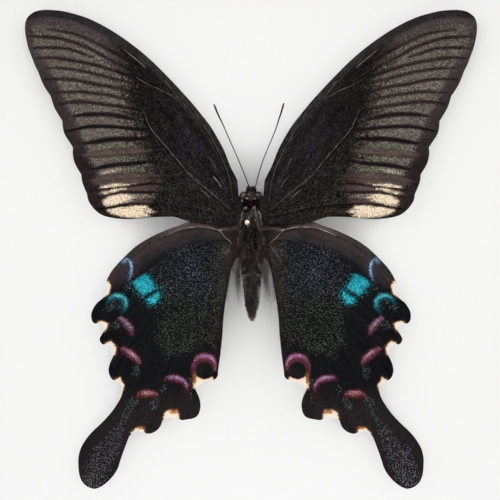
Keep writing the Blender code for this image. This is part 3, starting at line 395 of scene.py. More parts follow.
LOOSE_SPECKS = [
    (0.9, [(31.5, -16.6), (32.3, -17.8), (33.8, -19)]),
    (0.8, [(27.8, -28), (27.9, -29.6), (28, -31)]),
    (0.9, [(22.8, -36), (23.4, -37.2), (24, -38.6)]),
    (0.9, [(27.4, -36), (28.8, -37.2), (30.2, -38.8)]),
    (0.7, [(21.2, -33), (21.3, -35)]),
    (0.6, [(14.7, -30.5), (14.9, -33.4), (14.9, -36.6)]),
    (0.9, [(28.2, -8), (29.6, -8.8), (30.4, -9.6)]),
    (1, [(33.2, -12.6), (34.4, -13.6), (35.6, -14.4)]),
    (0.5, [(32, -13.2), (31.6, -14.6)]),
]
HINDWING_PALE_VEINS = [
    (0.09, 0.6, [(4.6, 1.5), (5.2, 2.2), (6.2, 3), (7.3, 4.3), (8.2, 4.9)]),
    (0.17, 1.1, [(7, 4.75), (7.5, 4.8), (8.2, 4.9)]),
    (0.11, 1, [(8, 4.85), (10, 5.4), (12, 5.6), (14.5, 5.5), (17, 5), (20.5, 3.6)]),
    (0.06, 0.2, [(23, 2.3), (24.4, 1.5), (25.6, 0.7)]),
    (0.06, 0.16, [(5, 0.7), (5.6, 0), (6.3, -0.8)]),
]

# Rings of the body, head end first: v, middle u, half width, top h and bottom h
THORAX_RINGS = [
    (10.3, 0, 0.6, 0.4, -1), (10.1, 0, 1.2, 0.9, -1.5), (9.6, 0, 1.9, 1.5, -2.3), (8.4, 0, 2.5, 2.2, -3.1),
    (6.6, 0, 2.75, 2.6, -3.5), (4.6, 0, 2.7, 2.5, -3.6), (2.6, 0, 2.6, 2.1, -3.4),
    (0.9, 0.05, 2.4, 1.5, -3), (-0.5, 0.1, 2, 0.9, -2.6), (-1.1, 0.1, 1.2, 0.2, -1.9),
    (-1.2, 0.1, 0.5, -0.4, -1.3),
]
ABDOMEN_RINGS = [
    (-1.5, 0.1, 0.9, 0.1, -1.7), (-1.8, 0.1, 1.4, 0.5, -2.3), (-2.6, 0.12, 1.95, 0.8, -2.7),
    (-4, 0.15, 2.2, 0.95, -3), (-6.3, 0.2, 2.15, 0.85, -3), (-8.6, 0.22, 1.95, 0.6, -2.9),
    (-10.9, 0.25, 1.75, 0.35, -2.75), (-13.3, 0.25, 1.45, 0.05, -2.5), (-14.2, 0.2, 1.12, -0.15, -2.3),
    (-15.4, 0.25, 0.86, -0.45, -2), (-16.6, 0.25, 0.56, -0.75, -1.75), (-17.3, 0.27, 0.2, -1.05, -1.45),
]
SEGMENT_ENDS = (-4.1, -6.4, -8.7, -11.0, -13.4)
SHOULDER_PLATE = ((2.3, 8.0, 1.1), (0.72, 1.9, 0.8))
HEAD_CAPSULE = ((0.0, 12.6, -0.2), (1.65, 1.8, 1.75))
COLLAR = ((0.0, 11.0, -0.3), (2.1, 0.8, 1.8))
HEAD_KNOBS = [
    ((-0.83, 12.45, 1.4), (0.55, 0.5, 0.55)),
    ((0.86, 12.4, 1.4), (0.55, 0.5, 0.55)),
    ((-0.4, 13.4, 1.3), (0.34, 0.34, 0.36)),
    ((0.58, 13.35, 1.3), (0.34, 0.34, 0.36)),
    ((-2.2, 11.9, 0.2), (0.4, 0.36, 0.4)),
]
EYE_MIDDLE = (1.72, 13.05, -0.3)
EYE_HALVES = (1.1, 1.2, 1.25)
PALP_MIDDLE = (0.55, 14.3, -0.3)
PALP_HALVES = (0.52, 0.98, 0.72)
ANTENNAE = {
    "left": [(-0.2, 14.2, 1.3, 0.14), (-0.45, 15.3, 1.7, 0.12), (-1.85, 19, 2.3, 0.12),
             (-3.1, 22, 2.6, 0.12), (-4.2, 24.5, 2.8, 0.12), (-5.3, 27, 2.9, 0.13), (-6.25, 29.2, 3, 0.14),
             (-7.25, 31.4, 3, 0.18), (-8.2, 33.4, 3, 0.24), (-8.85, 35, 3, 0.25), (-9.05, 35.5, 3, 0.14)],
    "right": [(0.7, 14.2, 1.3, 0.14), (1.05, 15.3, 1.7, 0.12), (2, 19, 2.3, 0.12), (3, 22, 2.6, 0.12),
              (4, 24.5, 2.8, 0.12), (5.05, 27, 2.9, 0.13), (5.95, 29.2, 3, 0.14), (6.65, 31.4, 3, 0.18),
              (7.35, 33.5, 3, 0.24), (7.85, 35.3, 3, 0.25), (7.95, 35.8, 3, 0.14)],
}
# Pale stripes of hair along the shoulder plates and the collar: colour, spread and the route
PALE_STRIPES = [
    ((160, 146, 140), 0.06, [(-1.75, 9.9), (-2.05, 9), (-2.2, 8), (-2.4, 7), (-2.5, 6), (-2.9, 5.3)]),
    ((154, 138, 131), 0.11, [(0.95, 10), (1.25, 9.3), (1.5, 8.4), (1.55, 7.6), (1.65, 6.6), (1.9, 5.6)]),
    ((170, 156, 149), 0.08, [(1.7, 10), (2.05, 9.3), (2.35, 8.3), (2.45, 7.6)]),
    ((146, 132, 127), 0.12, [(2.4, 7.2), (2.65, 6.3), (2.95, 5.2)]),
    ((196, 180, 172), 0.1, [(-1.75, 10.35), (-1.3, 10.6), (-0.8, 10.35)]),
    ((196, 180, 172), 0.1, [(0.35, 10.35), (0.75, 10.55), (1.05, 10.75)]),
]
# Longer tufts at the sides of the thorax: colour, length, the route of their feet, and the way they lean
ROOT_TUFTS = [
    ((98, 88, 86), 0.8, [(2, 4.6), (2.2, 3), (2.1, 1)], (0.7, -0.5, 0.1)),
    ((98, 88, 86), 0.8, [(-2.1, 4.6), (-2.3, 3), (-2.2, 1)], (-0.7, -0.5, 0.1)),
    ((60, 57, 56), 0.6, [(2.2, 11.2), (2.4, 9.5), (2.5, 7)], (0.8, -0.2, 0)),
    ((60, 57, 56), 0.6, [(-2.3, 11.2), (-2.4, 9.5), (-2.5, 7)], (-0.8, -0.2, 0)),
    ((90, 80, 78), 1.8, [(1, -0.2), (1.6, -0.2), (2.1, -0.3), (2.5, -0.8)], (0, -1.5, -0.25)),
    ((90, 80, 78), 1.8, [(-0.9, -0.2), (-1.5, -0.2), (-2, -0.3), (-2.4, -0.8)], (0, -1.5, -0.25)),
]
# Hair at the wings' roots and along the hindwings' inner margins, on both sides or on one: how many, length,
# radius, colour, the way it runs, how far each strays, and the route of its feet (u, v, h)
WING_HAIRS = [
    # Hair down the inner margins, which also stands in for the shade in the gaps beside the abdomen
    (BOTH_SIDES, 900, 2.6, 0.012, (172, 164, 160), (-0.3, -1, -0.3), 0.16,
     [(2.2, -1, -1.3), (2.9, -1.3, -1.4), (3.6, -2, -1.4), (4.2, -3, -1.5), (4.6, -4.2, -1.6)]),
    (BOTH_SIDES, 620, 6.2, 0.011, (160, 157, 155), (-0.14, -1, -0.12), 0.1,
     [(2.2, -1.4, -1.6), (3, -1.7, -1.8), (3.8, -2.4, -1.8), (4.3, -3.2, -1.7)]),
    (BOTH_SIDES, 260, 1.3, 0.011, (170, 168, 167), (-0.5, -1, -0.5), 0.2,
     [(4.6, -4.2, -1.6), (5, -6, -1.6), (5.5, -9, -1.7), (6, -12, -1.8)]),
    # Two long tufts, one down each gap beside the abdomen, that stand in for streaks of shade there
    ((1,), 230, 11.6, 0.012, (150, 148, 147), (0.06, -1, -0.14), 0.035,
     [(-3.9, -2.6, -2.6), (-3.1, -2.8, -2.8)]),
    ((1,), 230, 12.6, 0.012, (150, 148, 147), (0.15, -1, -0.14), 0.045,
     [(2.5, -2.4, -2.6), (3.4, -2.6, -2.8)]),
    (BOTH_SIDES, 190, 2.3, 0.022, (124, 114, 111), (1, 0.04, -0.12), 0.09,
     [(2.4, 5, 0.2), (2.6, 5.8, 0.2)]),
    (BOTH_SIDES, 200, 1.5, 0.022, (112, 102, 99), (1, -0.5, -0.2), 0.25, [(2.3, 1, 0), (2.3, 3.4, 0.1)]),
    (BOTH_SIDES, 60, 0.5, 0.03, (178, 158, 152), (0.7, -0.5, 0.1), 0.4,
     [(2.6, 1.4, 0.5), (3, 2.6, 0.5), (2.8, 3, 0.5)]),
]

# Colours, as sRGB values from 0 to 255
BASAL_BLACK = (22, 18, 19)
CELL_PURPLE = (29, 25, 29)
CELL_MAUVE = (40, 33, 38)
MARGIN_BROWN = (42, 33, 35)
COSTAL_EDGE = (50, 45, 47)
COSTAL_INSIDE = (50, 44, 46)
COSTAL_LIGHT = (96, 86, 85)
CELL_BROWN = (74, 66, 62)
STROKE_BROWN = (43, 33, 32)
STROKE_BLACK = (21, 15, 17)
BAND_BROWN = (82, 70, 66)
BAND_RED = (90, 71, 69)
SCALE_GREY = (132, 123, 115)
SCALE_GREEN = (118, 124, 102)
SPECK_OLIVE = (94, 90, 76)
SPECK_TEAL = (82, 90, 84)
SPECK_GREY = (88, 85, 85)
CREAM = (252, 236, 214)
CREAM_BETWEEN = (208, 180, 142)
TIP_BROWN = (75, 67, 68)
CREAM_UNDER = (100, 92, 78)
BARE_VEIN = (180, 170, 168)
VELVET_BLACK = (19, 19, 22)
HIND_BROWN = (59, 50, 52)
HIND_ROOT = (44, 38, 36)
COSTAL_PALE = (104, 91, 89)
# Brown-pink of the hindwing's root, partly real colour and partly painted light against the forewing's shadow
ROOT_PINK_PAINTED_LIGHT = (98, 87, 86)
SPECK_BLUE = (122, 128, 141)
SPECK_GREEN = (118, 123, 110)
SPECK_GOLD = (130, 121, 105)
CYAN = (54, 206, 224)
CYAN_BRIGHT = (120, 238, 236)
CYAN_DEEP = (18, 116, 134)
EYESPOT_BLACK = (24, 25, 27)
EYESPOT_RED = (96, 46, 50)
FRINGE_CREAM = (250, 236, 218)
FRINGE_PEACH = (244, 218, 186)
FRINGE_RIM = (112, 72, 54)
FRINGE_GOLD = (212, 148, 88)
ORANGE = (138, 80, 50)
TAIL_BROWN = (38, 33, 35)
TAIL_SPECK = (158, 163, 170)
LOOSE_TEAL = (140, 160, 156)
SKIN_BLACK = (26, 24, 25)
HAIR_BLACK = (60, 59, 58)
HAIR_GREEN = (122, 125, 119)
HAIR_BROWN = (92, 82, 80)
HAIR_PALE = (190, 180, 174)
HEAD_HAIR = (52, 45, 47)
PLATE_HAIR = (76, 70, 67)
COLLAR_HAIR = (58, 50, 51)
ABDOMEN_BLACK = (34, 31, 32)
ABDOMEN_BROWN = (64, 59, 59)
ABDOMEN_FLANK = (118, 110, 110)
ABDOMEN_TIP = (106, 88, 86)
PALP_HAIR = (92, 82, 84)
# The pin's head is pale in its middle as a painted highlight, and brass gold at its rim, darker there as
# painted shade; the shaft is gold all over
PIN_HIGHLIGHT_PALE = (255, 230, 206)
PIN_GOLD_AND_RIM_SHADE = (160, 118, 62)
HORN_TONES = ((30, 24, 26), (50, 41, 43))
EYE_TONES = ((40, 34, 37), (68, 59, 62))
STEEL_TONES = ((176, 178, 182), (214, 214, 214))
WOOD_TONES = ((44, 28, 21), (88, 56, 38))
WOOD_PORE = (26, 16, 12)
BOARD_TONES = ((243, 243, 243), (250, 250, 250))
FIBRE_TONES = ((98, 70, 50), (128, 97, 70))

# Tints, as linear values: of single scales, of the glass and of the floor
WARM_TINT = (1.03, 1.0, 0.96, 1.0)
COOL_TINT = (0.97, 1.0, 1.04, 1.0)
GLASS_TINT = (0.992, 0.992, 0.992, 1.0)
FLOOR_TINT = (0.62, 0.62, 0.61, 1.0)


def linear(colour):
    """Linear RGB of an sRGB colour: the screen's curve taken off."""
    share = np.array(colour, float) / 255
    return np.where(share <= 0.04045, share / 12.92, ((share + 0.055) / 1.055) ** 2.4)


def shown(colour, gloss=0.0):
    """Linear base colour that this light shows as an sRGB colour: the view transform turned round. That takes
    up to TOE off all channels, by the square of the least one in the dark, and bends a peak above KNEE.
    What would be brighter than white is dimmed with its hue kept."""
    wanted = linear(colour)
    peak = min(wanted.max(), HIGHEST_PEAK)
    if peak > KNEE:
        wanted = wanted * (KNEE_FOOT + KNEE_BEND / (1 - peak)) / peak
    least = wanted.min()
    lit = math.sqrt(least / TOE_BEND) if least < TOE else least + TOE
    base = np.maximum((wanted + lit - least) / LIGHT_LEVEL - gloss, DARKEST_BASE)
    return base * min(1.0, LIGHTEST_BASE / base.max())


def at(points, seen=True):
    """Points (u, v, h), in millimetres, as row-frame points in metres. Seen points were measured from the
    front, so those nearer the eye are drawn in by their share of its distance."""
    u, v, h = np.moveaxis(np.asarray(points, float), -1, 0)
    size = 1 - h / VIEW_DISTANCE if seen else 1.0
    return np.stack([u * size, WING_Y - h, CENTRE_Z + v * size], axis=-1) * MM


def ramp(value, low, high):
    """0 below low, 1 above high, and an eased S between: 3t^2 - 2t^3."""
    t = np.clip((value - low) / (high - low), 0, 1)
    return t * t * (3 - 2 * t)


def smooth_line(knots, step):
    """Points about one step apart on the Catmull-Rom curve through the knots, both ends kept."""
    known = np.array(knots, float)
    if len(known) == 2:
        dense = known
    else:
        padded = np.vstack([2 * known[0] - known[1], known, 2 * known[-1] - known[-2]])
        p0, p1, p2, p3 = (padded[i : len(padded) - 3 + i, None] for i in range(4))
        t = np.linspace(0, 1, CURVE_STEPS, endpoint=False)[None, :, None]
        curve = 0.5 * (2 * p1 + (p2 - p0) * t + (2 * p0 - 5 * p1 + 4 * p2 - p3) * t**2
                       + (3 * p1 - p0 - 3 * p2 + p3) * t**3)
        dense = np.vstack([curve.reshape(-1, known.shape[1]), known[-1:]])
    lengths = np.concatenate([[0], np.cumsum(np.linalg.norm(np.diff(dense, axis=0), axis=1))])
    places = np.linspace(0, lengths[-1], max(2, round(lengths[-1] / step)) + 1)
    return np.stack([np.interp(places, lengths, dense[:, k]) for k in range(dense.shape[1])], axis=1)


def to_line(points, line):
    """(distance to a polyline, share of its length at the nearest place) of each point."""
    knots = np.array(line, float)
    best = np.full(len(points), 1e9)
    share = np.zeros(len(points))
    lengths = np.linalg.norm(np.diff(knots, axis=0), axis=1)
    start_at = np.concatenate([[0], np.cumsum(lengths)])
    for a, b, length, before in zip(knots[:-1], knots[1:], lengths, start_at):
        t = np.clip((points - a) @ (b - a) / max(length**2, 1e-12), 0, 1)
        distance = np.linalg.norm(points - a - t[:, None] * (b - a), axis=1)
        nearer = distance < best
        best[nearer] = distance[nearer]
        share[nearer] = (before + t[nearer] * length) / start_at[-1]
    return best, share


def nearest(points, lines):
    """Distance of each point to the nearest of some polylines."""
    return np.min([to_line(points, line)[0] for line in lines], axis=0)


def inside(points, outline):
    """True where a ray to the right crosses the closed outline an odd number of times."""
    x, y = points[:, 0], points[:, 1]
    found = np.zeros(len(points), bool)
    ring = np.array(outline, float)
    for (ax, ay), (bx, by) in zip(ring, np.roll(ring, -1, axis=0)):
        if ay != by:
            found ^= ((ay > y) != (by > y)) & (x < ax + (y - ay) * (bx - ax) / (by - ay))
    return found


def depth_in(points, outline):
    """Distance to a closed outline, positive inside it and negative outside."""
    ring = np.array(list(outline) + [outline[0]], float)
    distance = to_line(points, ring)[0]
    return np.where(inside(points, outline), distance, -distance)


def noise(points, size, seed, squeeze=(1.0, 1.0)):
    """Smooth random value from 0 to 1: random numbers on a square lattice, joined by eased weights."""
    table = np.random.default_rng(seed).random((LATTICE, LATTICE))
    place = points * np.array(squeeze) / size + LATTICE_SHIFT
    cell = np.floor(place).astype(int)
    t = place - cell
    t = t * t * (3 - 2 * t)
    a, b = cell[:, 0] % LATTICE, cell[:, 1] % LATTICE
    c, d = (a + 1) % LATTICE, (b + 1) % LATTICE
    low = table[a, b] * (1 - t[:, 0]) + table[c, b] * t[:, 0]
    high = table[a, d] * (1 - t[:, 0]) + table[c, d] * t[:, 0]
    return low * (1 - t[:, 1]) + high * t[:, 1]


def turned(points, degrees):
    """Flat points turned clockwise, so that a squeezed noise runs at that angle."""
    c, s = math.cos(math.radians(degrees)), math.sin(math.radians(degrees))
    return points @ np.array([[c, -s], [s, c]])


def stroke(points, line, half, soft=0.22, taper=0.25):
    """Mask of a stroke along a line, full in the middle and drawn to a point over the taper at each end."""
    distance, share = to_line(points, smooth_line(line, 0.8))
    width = half * (0.35 + 0.65 * ramp(np.minimum(share, 1 - share), 0, taper))
    return 1 - ramp(distance, width - soft / 2, width + soft)


def strongest(points, table, soft, taper=0.25, share=1.0):
    """The strongest of the strokes of a table of (half width, route), with that share of their widths."""
    return np.max([stroke(points, line, share * half, soft, taper) for half, line in table], axis=0)


def paint(base, colour, mask):
    """The base colours moved towards another by a mask, in linear light."""
    target = shown(colour, SCALE_GLOSS) if isinstance(colour, tuple) else colour
    return base + (target - base) * np.clip(mask, 0, 1)[:, None]


def tone(points, colour):
    """One colour at every point."""
    return np.tile(shown(colour, SCALE_GLOSS), (len(points), 1))


def blend(points, first, second, mask):
    """One colour at every point, moved towards a second by a mask."""
    return paint(tone(points, first), second, mask)


def add_mesh(name, points, faces, material, slot, replaced=(), **attributes):
    """A mesh piece from row-frame points and blocks of faces. Attributes are values or colours per point."""
    mesh = bpy.data.meshes.new(name)
    mesh.from_pydata(points.tolist(), [], [face for block in faces for face in block.tolist()])
    for key, values in attributes.items():
        if values.ndim == 1:
            mesh.attributes.new(key, "FLOAT", "POINT").data.foreach_set("value", values.astype(np.float32))
        else:
            full = np.column_stack([values, np.ones(len(values))]).astype(np.float32)
            mesh.attributes.new(key, "FLOAT_COLOR", "POINT").data.foreach_set("color", full.ravel())
    mesh.shade_smooth()
    mesh.materials.append(material)
    piece = bpy.data.objects.new(name, mesh)
    bpy.context.scene.collection.objects.link(piece)
    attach(piece, "root")
    if replaced:
        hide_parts(*replaced)
    return piece


def outward(points, faces):
    """Blocks of faces, turned round where the volume that they close, a sum of products, is negative."""
    volume = 0.0
    for block in faces:
        for k in range(1, block.shape[1] - 1):
            a, b, c = points[block[:, 0]], points[block[:, k]], points[block[:, k + 1]]
            volume += np.sum(a * np.cross(b, c))
    return faces if volume > 0 else [block[:, ::-1] for block in faces]


def capped(grid):
    """Points and faces of closed rings in a row, with a point that closes each end, turned outwards."""
    rows, sides = grid.shape[:2]
    r, c = np.meshgrid(np.arange(rows - 1), np.arange(sides), indexing="ij")
    here, beside = (r * sides + c).ravel(), (r * sides + (c + 1) % sides).ravel()
    walls = np.stack([here, beside, beside + sides, here + sides], axis=1)
    k = np.arange(sides)
    n = (k + 1) % sides
    first = rows * sides
    start = np.column_stack([n, k, np.full(sides, first)])
    end = np.column_stack([k + (rows - 1) * sides, n + (rows - 1) * sides, np.full(sides, first + 1)])
    points = np.vstack([grid.reshape(-1, 3), grid[0].mean(axis=0), grid[-1].mean(axis=0)])
    return points, outward(points, [walls, start, end])


def joined(lots):
    """One lot of points, faces and colours from several."""
    firsts = np.cumsum([0] + [len(lot[0]) for lot in lots[:-1]])
    faces = [block + first for lot, first in zip(lots, firsts) for block in lot[1]]
    return np.vstack([lot[0] for lot in lots]), faces, np.vstack([lot[2] for lot in lots])


def add_lots(name, lots, slot, *replaced):
    """One piece from several lots of points, faces and colours."""
    points, faces, colours = joined(lots)
    add_mesh(name, at(points), faces, FUR, slot, replaced, ground=colours)


class Tree:
    """A short way to write down a material's nodes and their links."""

    def __init__(self, tree):
        self.tree = tree

    def add(self, kind, inputs=None, **settings):
        node = self.tree.nodes.new(kind)
        for key, value in settings.items():
            setattr(node, key, value)
        for key, value in (inputs or {}).items():
            self.put(node.inputs[key], value)
        return node

    def put(self, socket, value):
        if isinstance(value, bpy.types.NodeSocket):
            self.tree.links.new(value, socket)
        else:
            socket.default_value = value

    def wire(self, sockets, **inputs):
        """Values or links for several sockets, whose names are written with underscores for blanks."""
        for key, value in inputs.items():
            self.put(sockets[key.replace("_", " ")], value)

    def math(self, operation, *values):
        return self.add("ShaderNodeMath", dict(enumerate(values)), operation=operation).outputs[0]

    def times(self, colour, factor):
        return self.add("ShaderNodeVectorMath", {0: colour, 1: factor}, operation="MULTIPLY").outputs[0]

    def mix(self, factor, first, second):
        node = self.add("ShaderNodeMix", data_type="RGBA")
        self.put(node.inputs[0], factor)
        self.put(node.inputs[6], first)
        self.put(node.inputs[7], second)
        return node.outputs[2]

    def tones(self, factor, pair):
        """A mix of two sRGB colours."""
        return self.mix(factor, rgba(pair[0]), rgba(pair[1]))

    def span(self, value, low, high, out_low=0.0, out_high=1.0):
        """The value's way from low to high, eased, as one from out_low to out_high."""
        settings = {0: value, 1: low, 2: high, 3: out_low, 4: out_high}
        return self.add("ShaderNodeMapRange", settings, interpolation_type="SMOOTHSTEP").outputs[0]

    def place(self):
        return self.add("ShaderNodeTexCoord").outputs["Object"]

    def own(self, name, output="Color"):
        """The piece's own attribute of that name."""
        return self.add("ShaderNodeAttribute", attribute_name=name).outputs[output]

    def stretched(self, place, scale):
        return self.add("ShaderNodeMapping", {"Vector": place, "Scale": scale}).outputs[0]

    def speckle(self, place, scale, detail=3.0, distortion=0.0):
        settings = {"Vector": place, "Scale": scale, "Detail": detail, "Distortion": distortion}
        return self.add("ShaderNodeTexNoise", settings).outputs["Fac"]

    def bump(self, height, strength, depth):
        settings = {"Strength": strength, "Distance": depth, "Height": height}
        return self.add("ShaderNodeBump", settings).outputs[0]


def rgba(colour):
    return (*linear(colour), 1.0)


def new_material(name, roughness, specular=0.5, metallic=0.0, **plain):
    """A material with one Principled shader, whose plain values stand on its own sockets."""
    made = bpy.data.materials.new(name)
    made.use_nodes = True
    shader = made.node_tree.nodes["Principled BSDF"]
    shader.inputs["Roughness"].default_value = roughness
    shader.inputs["Specular IOR Level"].default_value = specular
    shader.inputs["Metallic"].default_value = metallic
    for key, value in plain.items():
        shader.inputs[key.replace("_", " ")].default_value = value
    return made, Tree(made.node_tree), shader


def new_group(name, inputs, outputs):
    """A shader node group with these sockets, their kinds by name: (group, tree, what is given, result)."""
    group = bpy.data.node_groups.new(name, "ShaderNodeTree")
    for way, sockets in (("INPUT", inputs), ("OUTPUT", outputs)):
        for word, kind in sockets.items():
            group.interface.new_socket(word, in_out=way, socket_type=f"NodeSocket{kind}")
    tree = Tree(group)
    return group, tree, tree.add("NodeGroupInput").outputs, tree.add("NodeGroupOutput").inputs


def scattered_scales():
    """Group: round scales scattered over the wing's plane. Each cell of a flat Voronoi pattern holds one
    round scale, drawn if the cell's random number is under Cover. The scales grow as Cover nears CLOSING, and
    close up above it. Tone and Hue are random numbers of the scale. Rows is the fine shingle of the scales
    beneath, as the distance to the nearest of the points of a finer pattern."""
    inputs = {"Vector": "Vector", "Per metre": "Float", "Cover": "Float", "Size": "Float"}
    outputs = {name: "Float" for name in ("Mask", "Tone", "Hue", "Rows")}
    group, tree, given, result = new_group("scattered scales", inputs, outputs)
    place = tree.add("ShaderNodeSeparateXYZ", {0: given["Vector"]}).outputs
    flat = tree.add("ShaderNodeCombineXYZ", {"X": place["X"], "Y": place["Z"]}).outputs[0]
    spread = {"Vector": flat, "Scale": given["Per metre"], "Randomness": 0.85}
    cells = tree.add("ShaderNodeTexVoronoi", spread, voronoi_dimensions="2D").outputs
    lot = tree.add("ShaderNodeSeparateColor", {0: cells["Color"]}).outputs
    grown = tree.math("MULTIPLY", tree.span(given["Cover"], 0.55, CLOSING, 1.0, 1.55), given["Size"])
    radius = tree.math("MULTIPLY", tree.math("MULTIPLY_ADD", lot["Blue"], 0.5, 0.75), grown)
    disc = tree.span(tree.math("DIVIDE", cells["Distance"], radius), 1.2, 0.65)
    drawn = tree.math("LESS_THAN", lot["Red"], given["Cover"])
    closed = tree.span(given["Cover"], CLOSING, 1.1)
    mask = tree.math("MAXIMUM", tree.math("MULTIPLY", disc, drawn), closed)
    fine = {"Vector": flat, "Scale": SHINGLE_PER_METRE}
    shingle = tree.add("ShaderNodeTexVoronoi", fine, voronoi_dimensions="2D").outputs
    tree.wire(result, Mask=mask, Tone=lot["Green"], Hue=lot["Blue"], Rows=shingle["Distance"])
    return group


def wing_material(name, scales_group, per_metre, size, roughness):
    """Wing scales: the ground's colour, with loose scales of the dust's colour scattered over it."""
    made, tree, shader = new_material(name, roughness, specular=0.05)
    place = tree.place()
    ground, dust, cover = tree.own("ground"), tree.own("dust"), tree.own("cover", "Fac")
    scales = tree.add("ShaderNodeGroup", node_tree=scales_group)
    tree.wire(scales.inputs, Vector=place, Per_metre=per_metre, Cover=cover, Size=size)
    mask, tone, hue, rows = (scales.outputs[k] for k in ("Mask", "Tone", "Hue", "Rows"))
    tinted = tree.times(dust, tree.mix(hue, WARM_TINT, COOL_TINT))
    toned = tree.times(tinted, tree.span(tone, 0.0, 1.0, 0.62, 1.38))
    fine = tree.span(tree.speckle(place, 3600.0, 2.0), 0.3, 0.7, 0.72, 1.28)
    grained = tree.times(tree.times(ground, fine), tree.span(rows, 0.0, 0.7, 1.12, 0.84))
    tree.wire(shader.inputs, Base_Color=tree.mix(mask, grained, toned),
              Normal=tree.bump(tree.math("SUBTRACT", mask, rows), 0.3, 0.00004))
    return made


def forewing_height(u, v):
    """The forewing droops away from its root, and its leading edge lies a little lower than the middle."""
    return 0.35 - WING_DROOP * (u - 3.0) - 0.0006 * (u - 0.86 * v) ** 2


def hindwing_height(u, v):
    """The hindwing lies under the forewing and droops away from its root and towards its tail."""
    return -0.95 - WING_DROOP * (u - 3.0) - 0.0007 * np.minimum(v, 0.0) ** 2


def wing_surface(flat, height, veins, folds):
    """Height of the wing's skin: droop, a ridge along each vein, a valley along each fold, and ripples."""
    ridge = VEIN_RISE * np.exp(-((nearest(flat, veins) / VEIN_REACH) ** 2))
    relief = ridge - FOLD_DROP * np.exp(-((nearest(flat, folds) / FOLD_REACH) ** 2))
    ripple = RIPPLE * (noise(flat, 5.0, seed=31) - 0.5) + 0.4 * RIPPLE * (noise(flat, 1.6, seed=32) - 0.5)
    return height(flat[:, 0], flat[:, 1]) + relief + ripple


def forewing_ground(p, grain, costal, cell, to_edge):
    """The forewing's ground: purple-black cell, brown leading edge and margin, broken up by fine noise."""
    along_cell = noise(turned(p, CELL_ANGLE), 0.9, seed=17, squeeze=(0.14, 1.0))
    ground = blend(p, BASAL_BLACK, CELL_PURPLE, ramp(cell, -0.5, 1.0) * ramp(along_cell, 0.2, 0.8))
    for half, strength, line in MAUVE_STREAKS:
        mask = strength * stroke(p, line, half, soft=0.7)
        ground = paint(ground, CELL_MAUVE, mask * ramp(along_cell, 0.1, 0.6))
    leading = blend(p, COSTAL_EDGE, COSTAL_INSIDE, ramp(to_edge, 0.6, 2.4))
    light = (0.85 + 0.3 * noise(p, 2.2, seed=13) + 0.5 * ramp(p[:, 0], 30, 44) * ramp(to_edge, 1.3, 2.3)
             - 0.34 * ramp(p[:, 1], 36, 22) + 0.5 * (grain - 0.5) * ramp(p[:, 1], 44, 30))
    ground = paint(ground, leading * light[:, None], costal)
    ground = paint(ground, COSTAL_LIGHT, 0.9 * stroke(p, COSTAL_RIDGE, 0.4, soft=0.7, taper=0.35))
    rough = 0.84 * (1 - 0.8 * costal * ramp(p[:, 0], 22, 32))
    flecks = noise(turned(p, CELL_ANGLE), 0.36, seed=35, squeeze=(0.5, 1.0)) - 0.5
    ground = ground * (0.92 + rough * flecks)[:, None]
    margin = blend(p, MARGIN_BROWN, TIP_BROWN, 0.5 * ramp(p[:, 1], 20, 34) + 0.5 * ramp(p[:, 1], 36, 52))
    return paint(ground, margin, ramp(p[:, 0] - 0.1 * p[:, 1], 24, 33) * (1 - costal))


def grey_field(p, grain, streak, into):
    """(mask, brightness, distance from the frayed left side) of the field of grey scales."""
    deep = depth_in(p, GREY_FIELD)
    from_left = to_line(p, GREY_FADE)[0] + 1.3 + 2.4 * (streak - 0.5)
    field = ramp(deep + 1.2 * (grain - 0.5), -1.0, 1.0) * ramp(from_left, -0.6, 2.6)
    loose = 1 + (1.9 * noise(p, 0.4, seed=34) - 0.85) * ramp(from_left, 13, 6)
    bright = np.clip(np.clip(from_left / 8.6, 0.05, 1) ** 1.5 * loose, 0, 1)
    return field, bright * (0.45 + 0.55 * ramp(into, 0.0, 4.2)) * ramp(deep, -1.2, 2.0), from_left


def basal_specks(p, cell, grey, costal):
    """(colour, mask, cover) of the specks sprinkled between the forewing's root and its grey field."""
    basal = ramp(p[:, 0], 31, 21) * (1 - ramp(grey, 0.0, 0.35)) * (1 - costal)
    below = 1 - ramp(cell, -0.6, 0.6)
    foot = ramp(p[:, 1] - 0.1 * p[:, 0], 9.6, 8.6) * ramp(p[:, 0], 24, 20)
    lower = 0.25 * below * ramp(noise(p, 4.0, seed=14), -0.2, 0.6)
    cover = basal * (0.15 + 0.1 * ramp(p[:, 1], 30, 18) + lower)
    cover = np.maximum(cover * (0.6 + 0.8 * noise(p, 1.3, seed=20)), 0.5 * foot)
    specks = blend(p, SPECK_OLIVE, SPECK_TEAL, ramp(noise(p, 5.0, seed=15), 0.25, 0.75))
    specks = paint(specks, SPECK_GREY, ramp(noise(p, 1.1, seed=27) + 0.5 * foot, 0.3, 0.8))
    return specks * (0.5 + 1.1 * noise(p, 0.4, seed=28))[:, None], basal, cover


def cream_marks(p, grain, streak, strokes):
    """Mask of the forewing's cream patches and streaks, frayed in threads and cut by the dark strokes."""
    cream = np.zeros(len(p))
    threads = noise(turned(p, 8), 0.3, seed=36, squeeze=(0.2, 1.0))
    for begin, stop, patch in CREAM_PATCHES:
        shape = ramp(depth_in(p, patch) + 0.5 * (streak - 0.5) + 0.3 * (grain - 0.5), -0.8, 0.6)
        cream = np.maximum(cream, shape * ramp(p[:, 0] + 3.0 * (threads - 0.5), begin, stop))
    for half, strength, line in CREAM_STREAKS:
        mark = strength * stroke(p, line, half * 0.7, soft=0.6, taper=0.45)
        cream = np.maximum(cream, mark * (0.45 + 0.9 * threads))
    return cream * (1 - 0.7 * strokes)


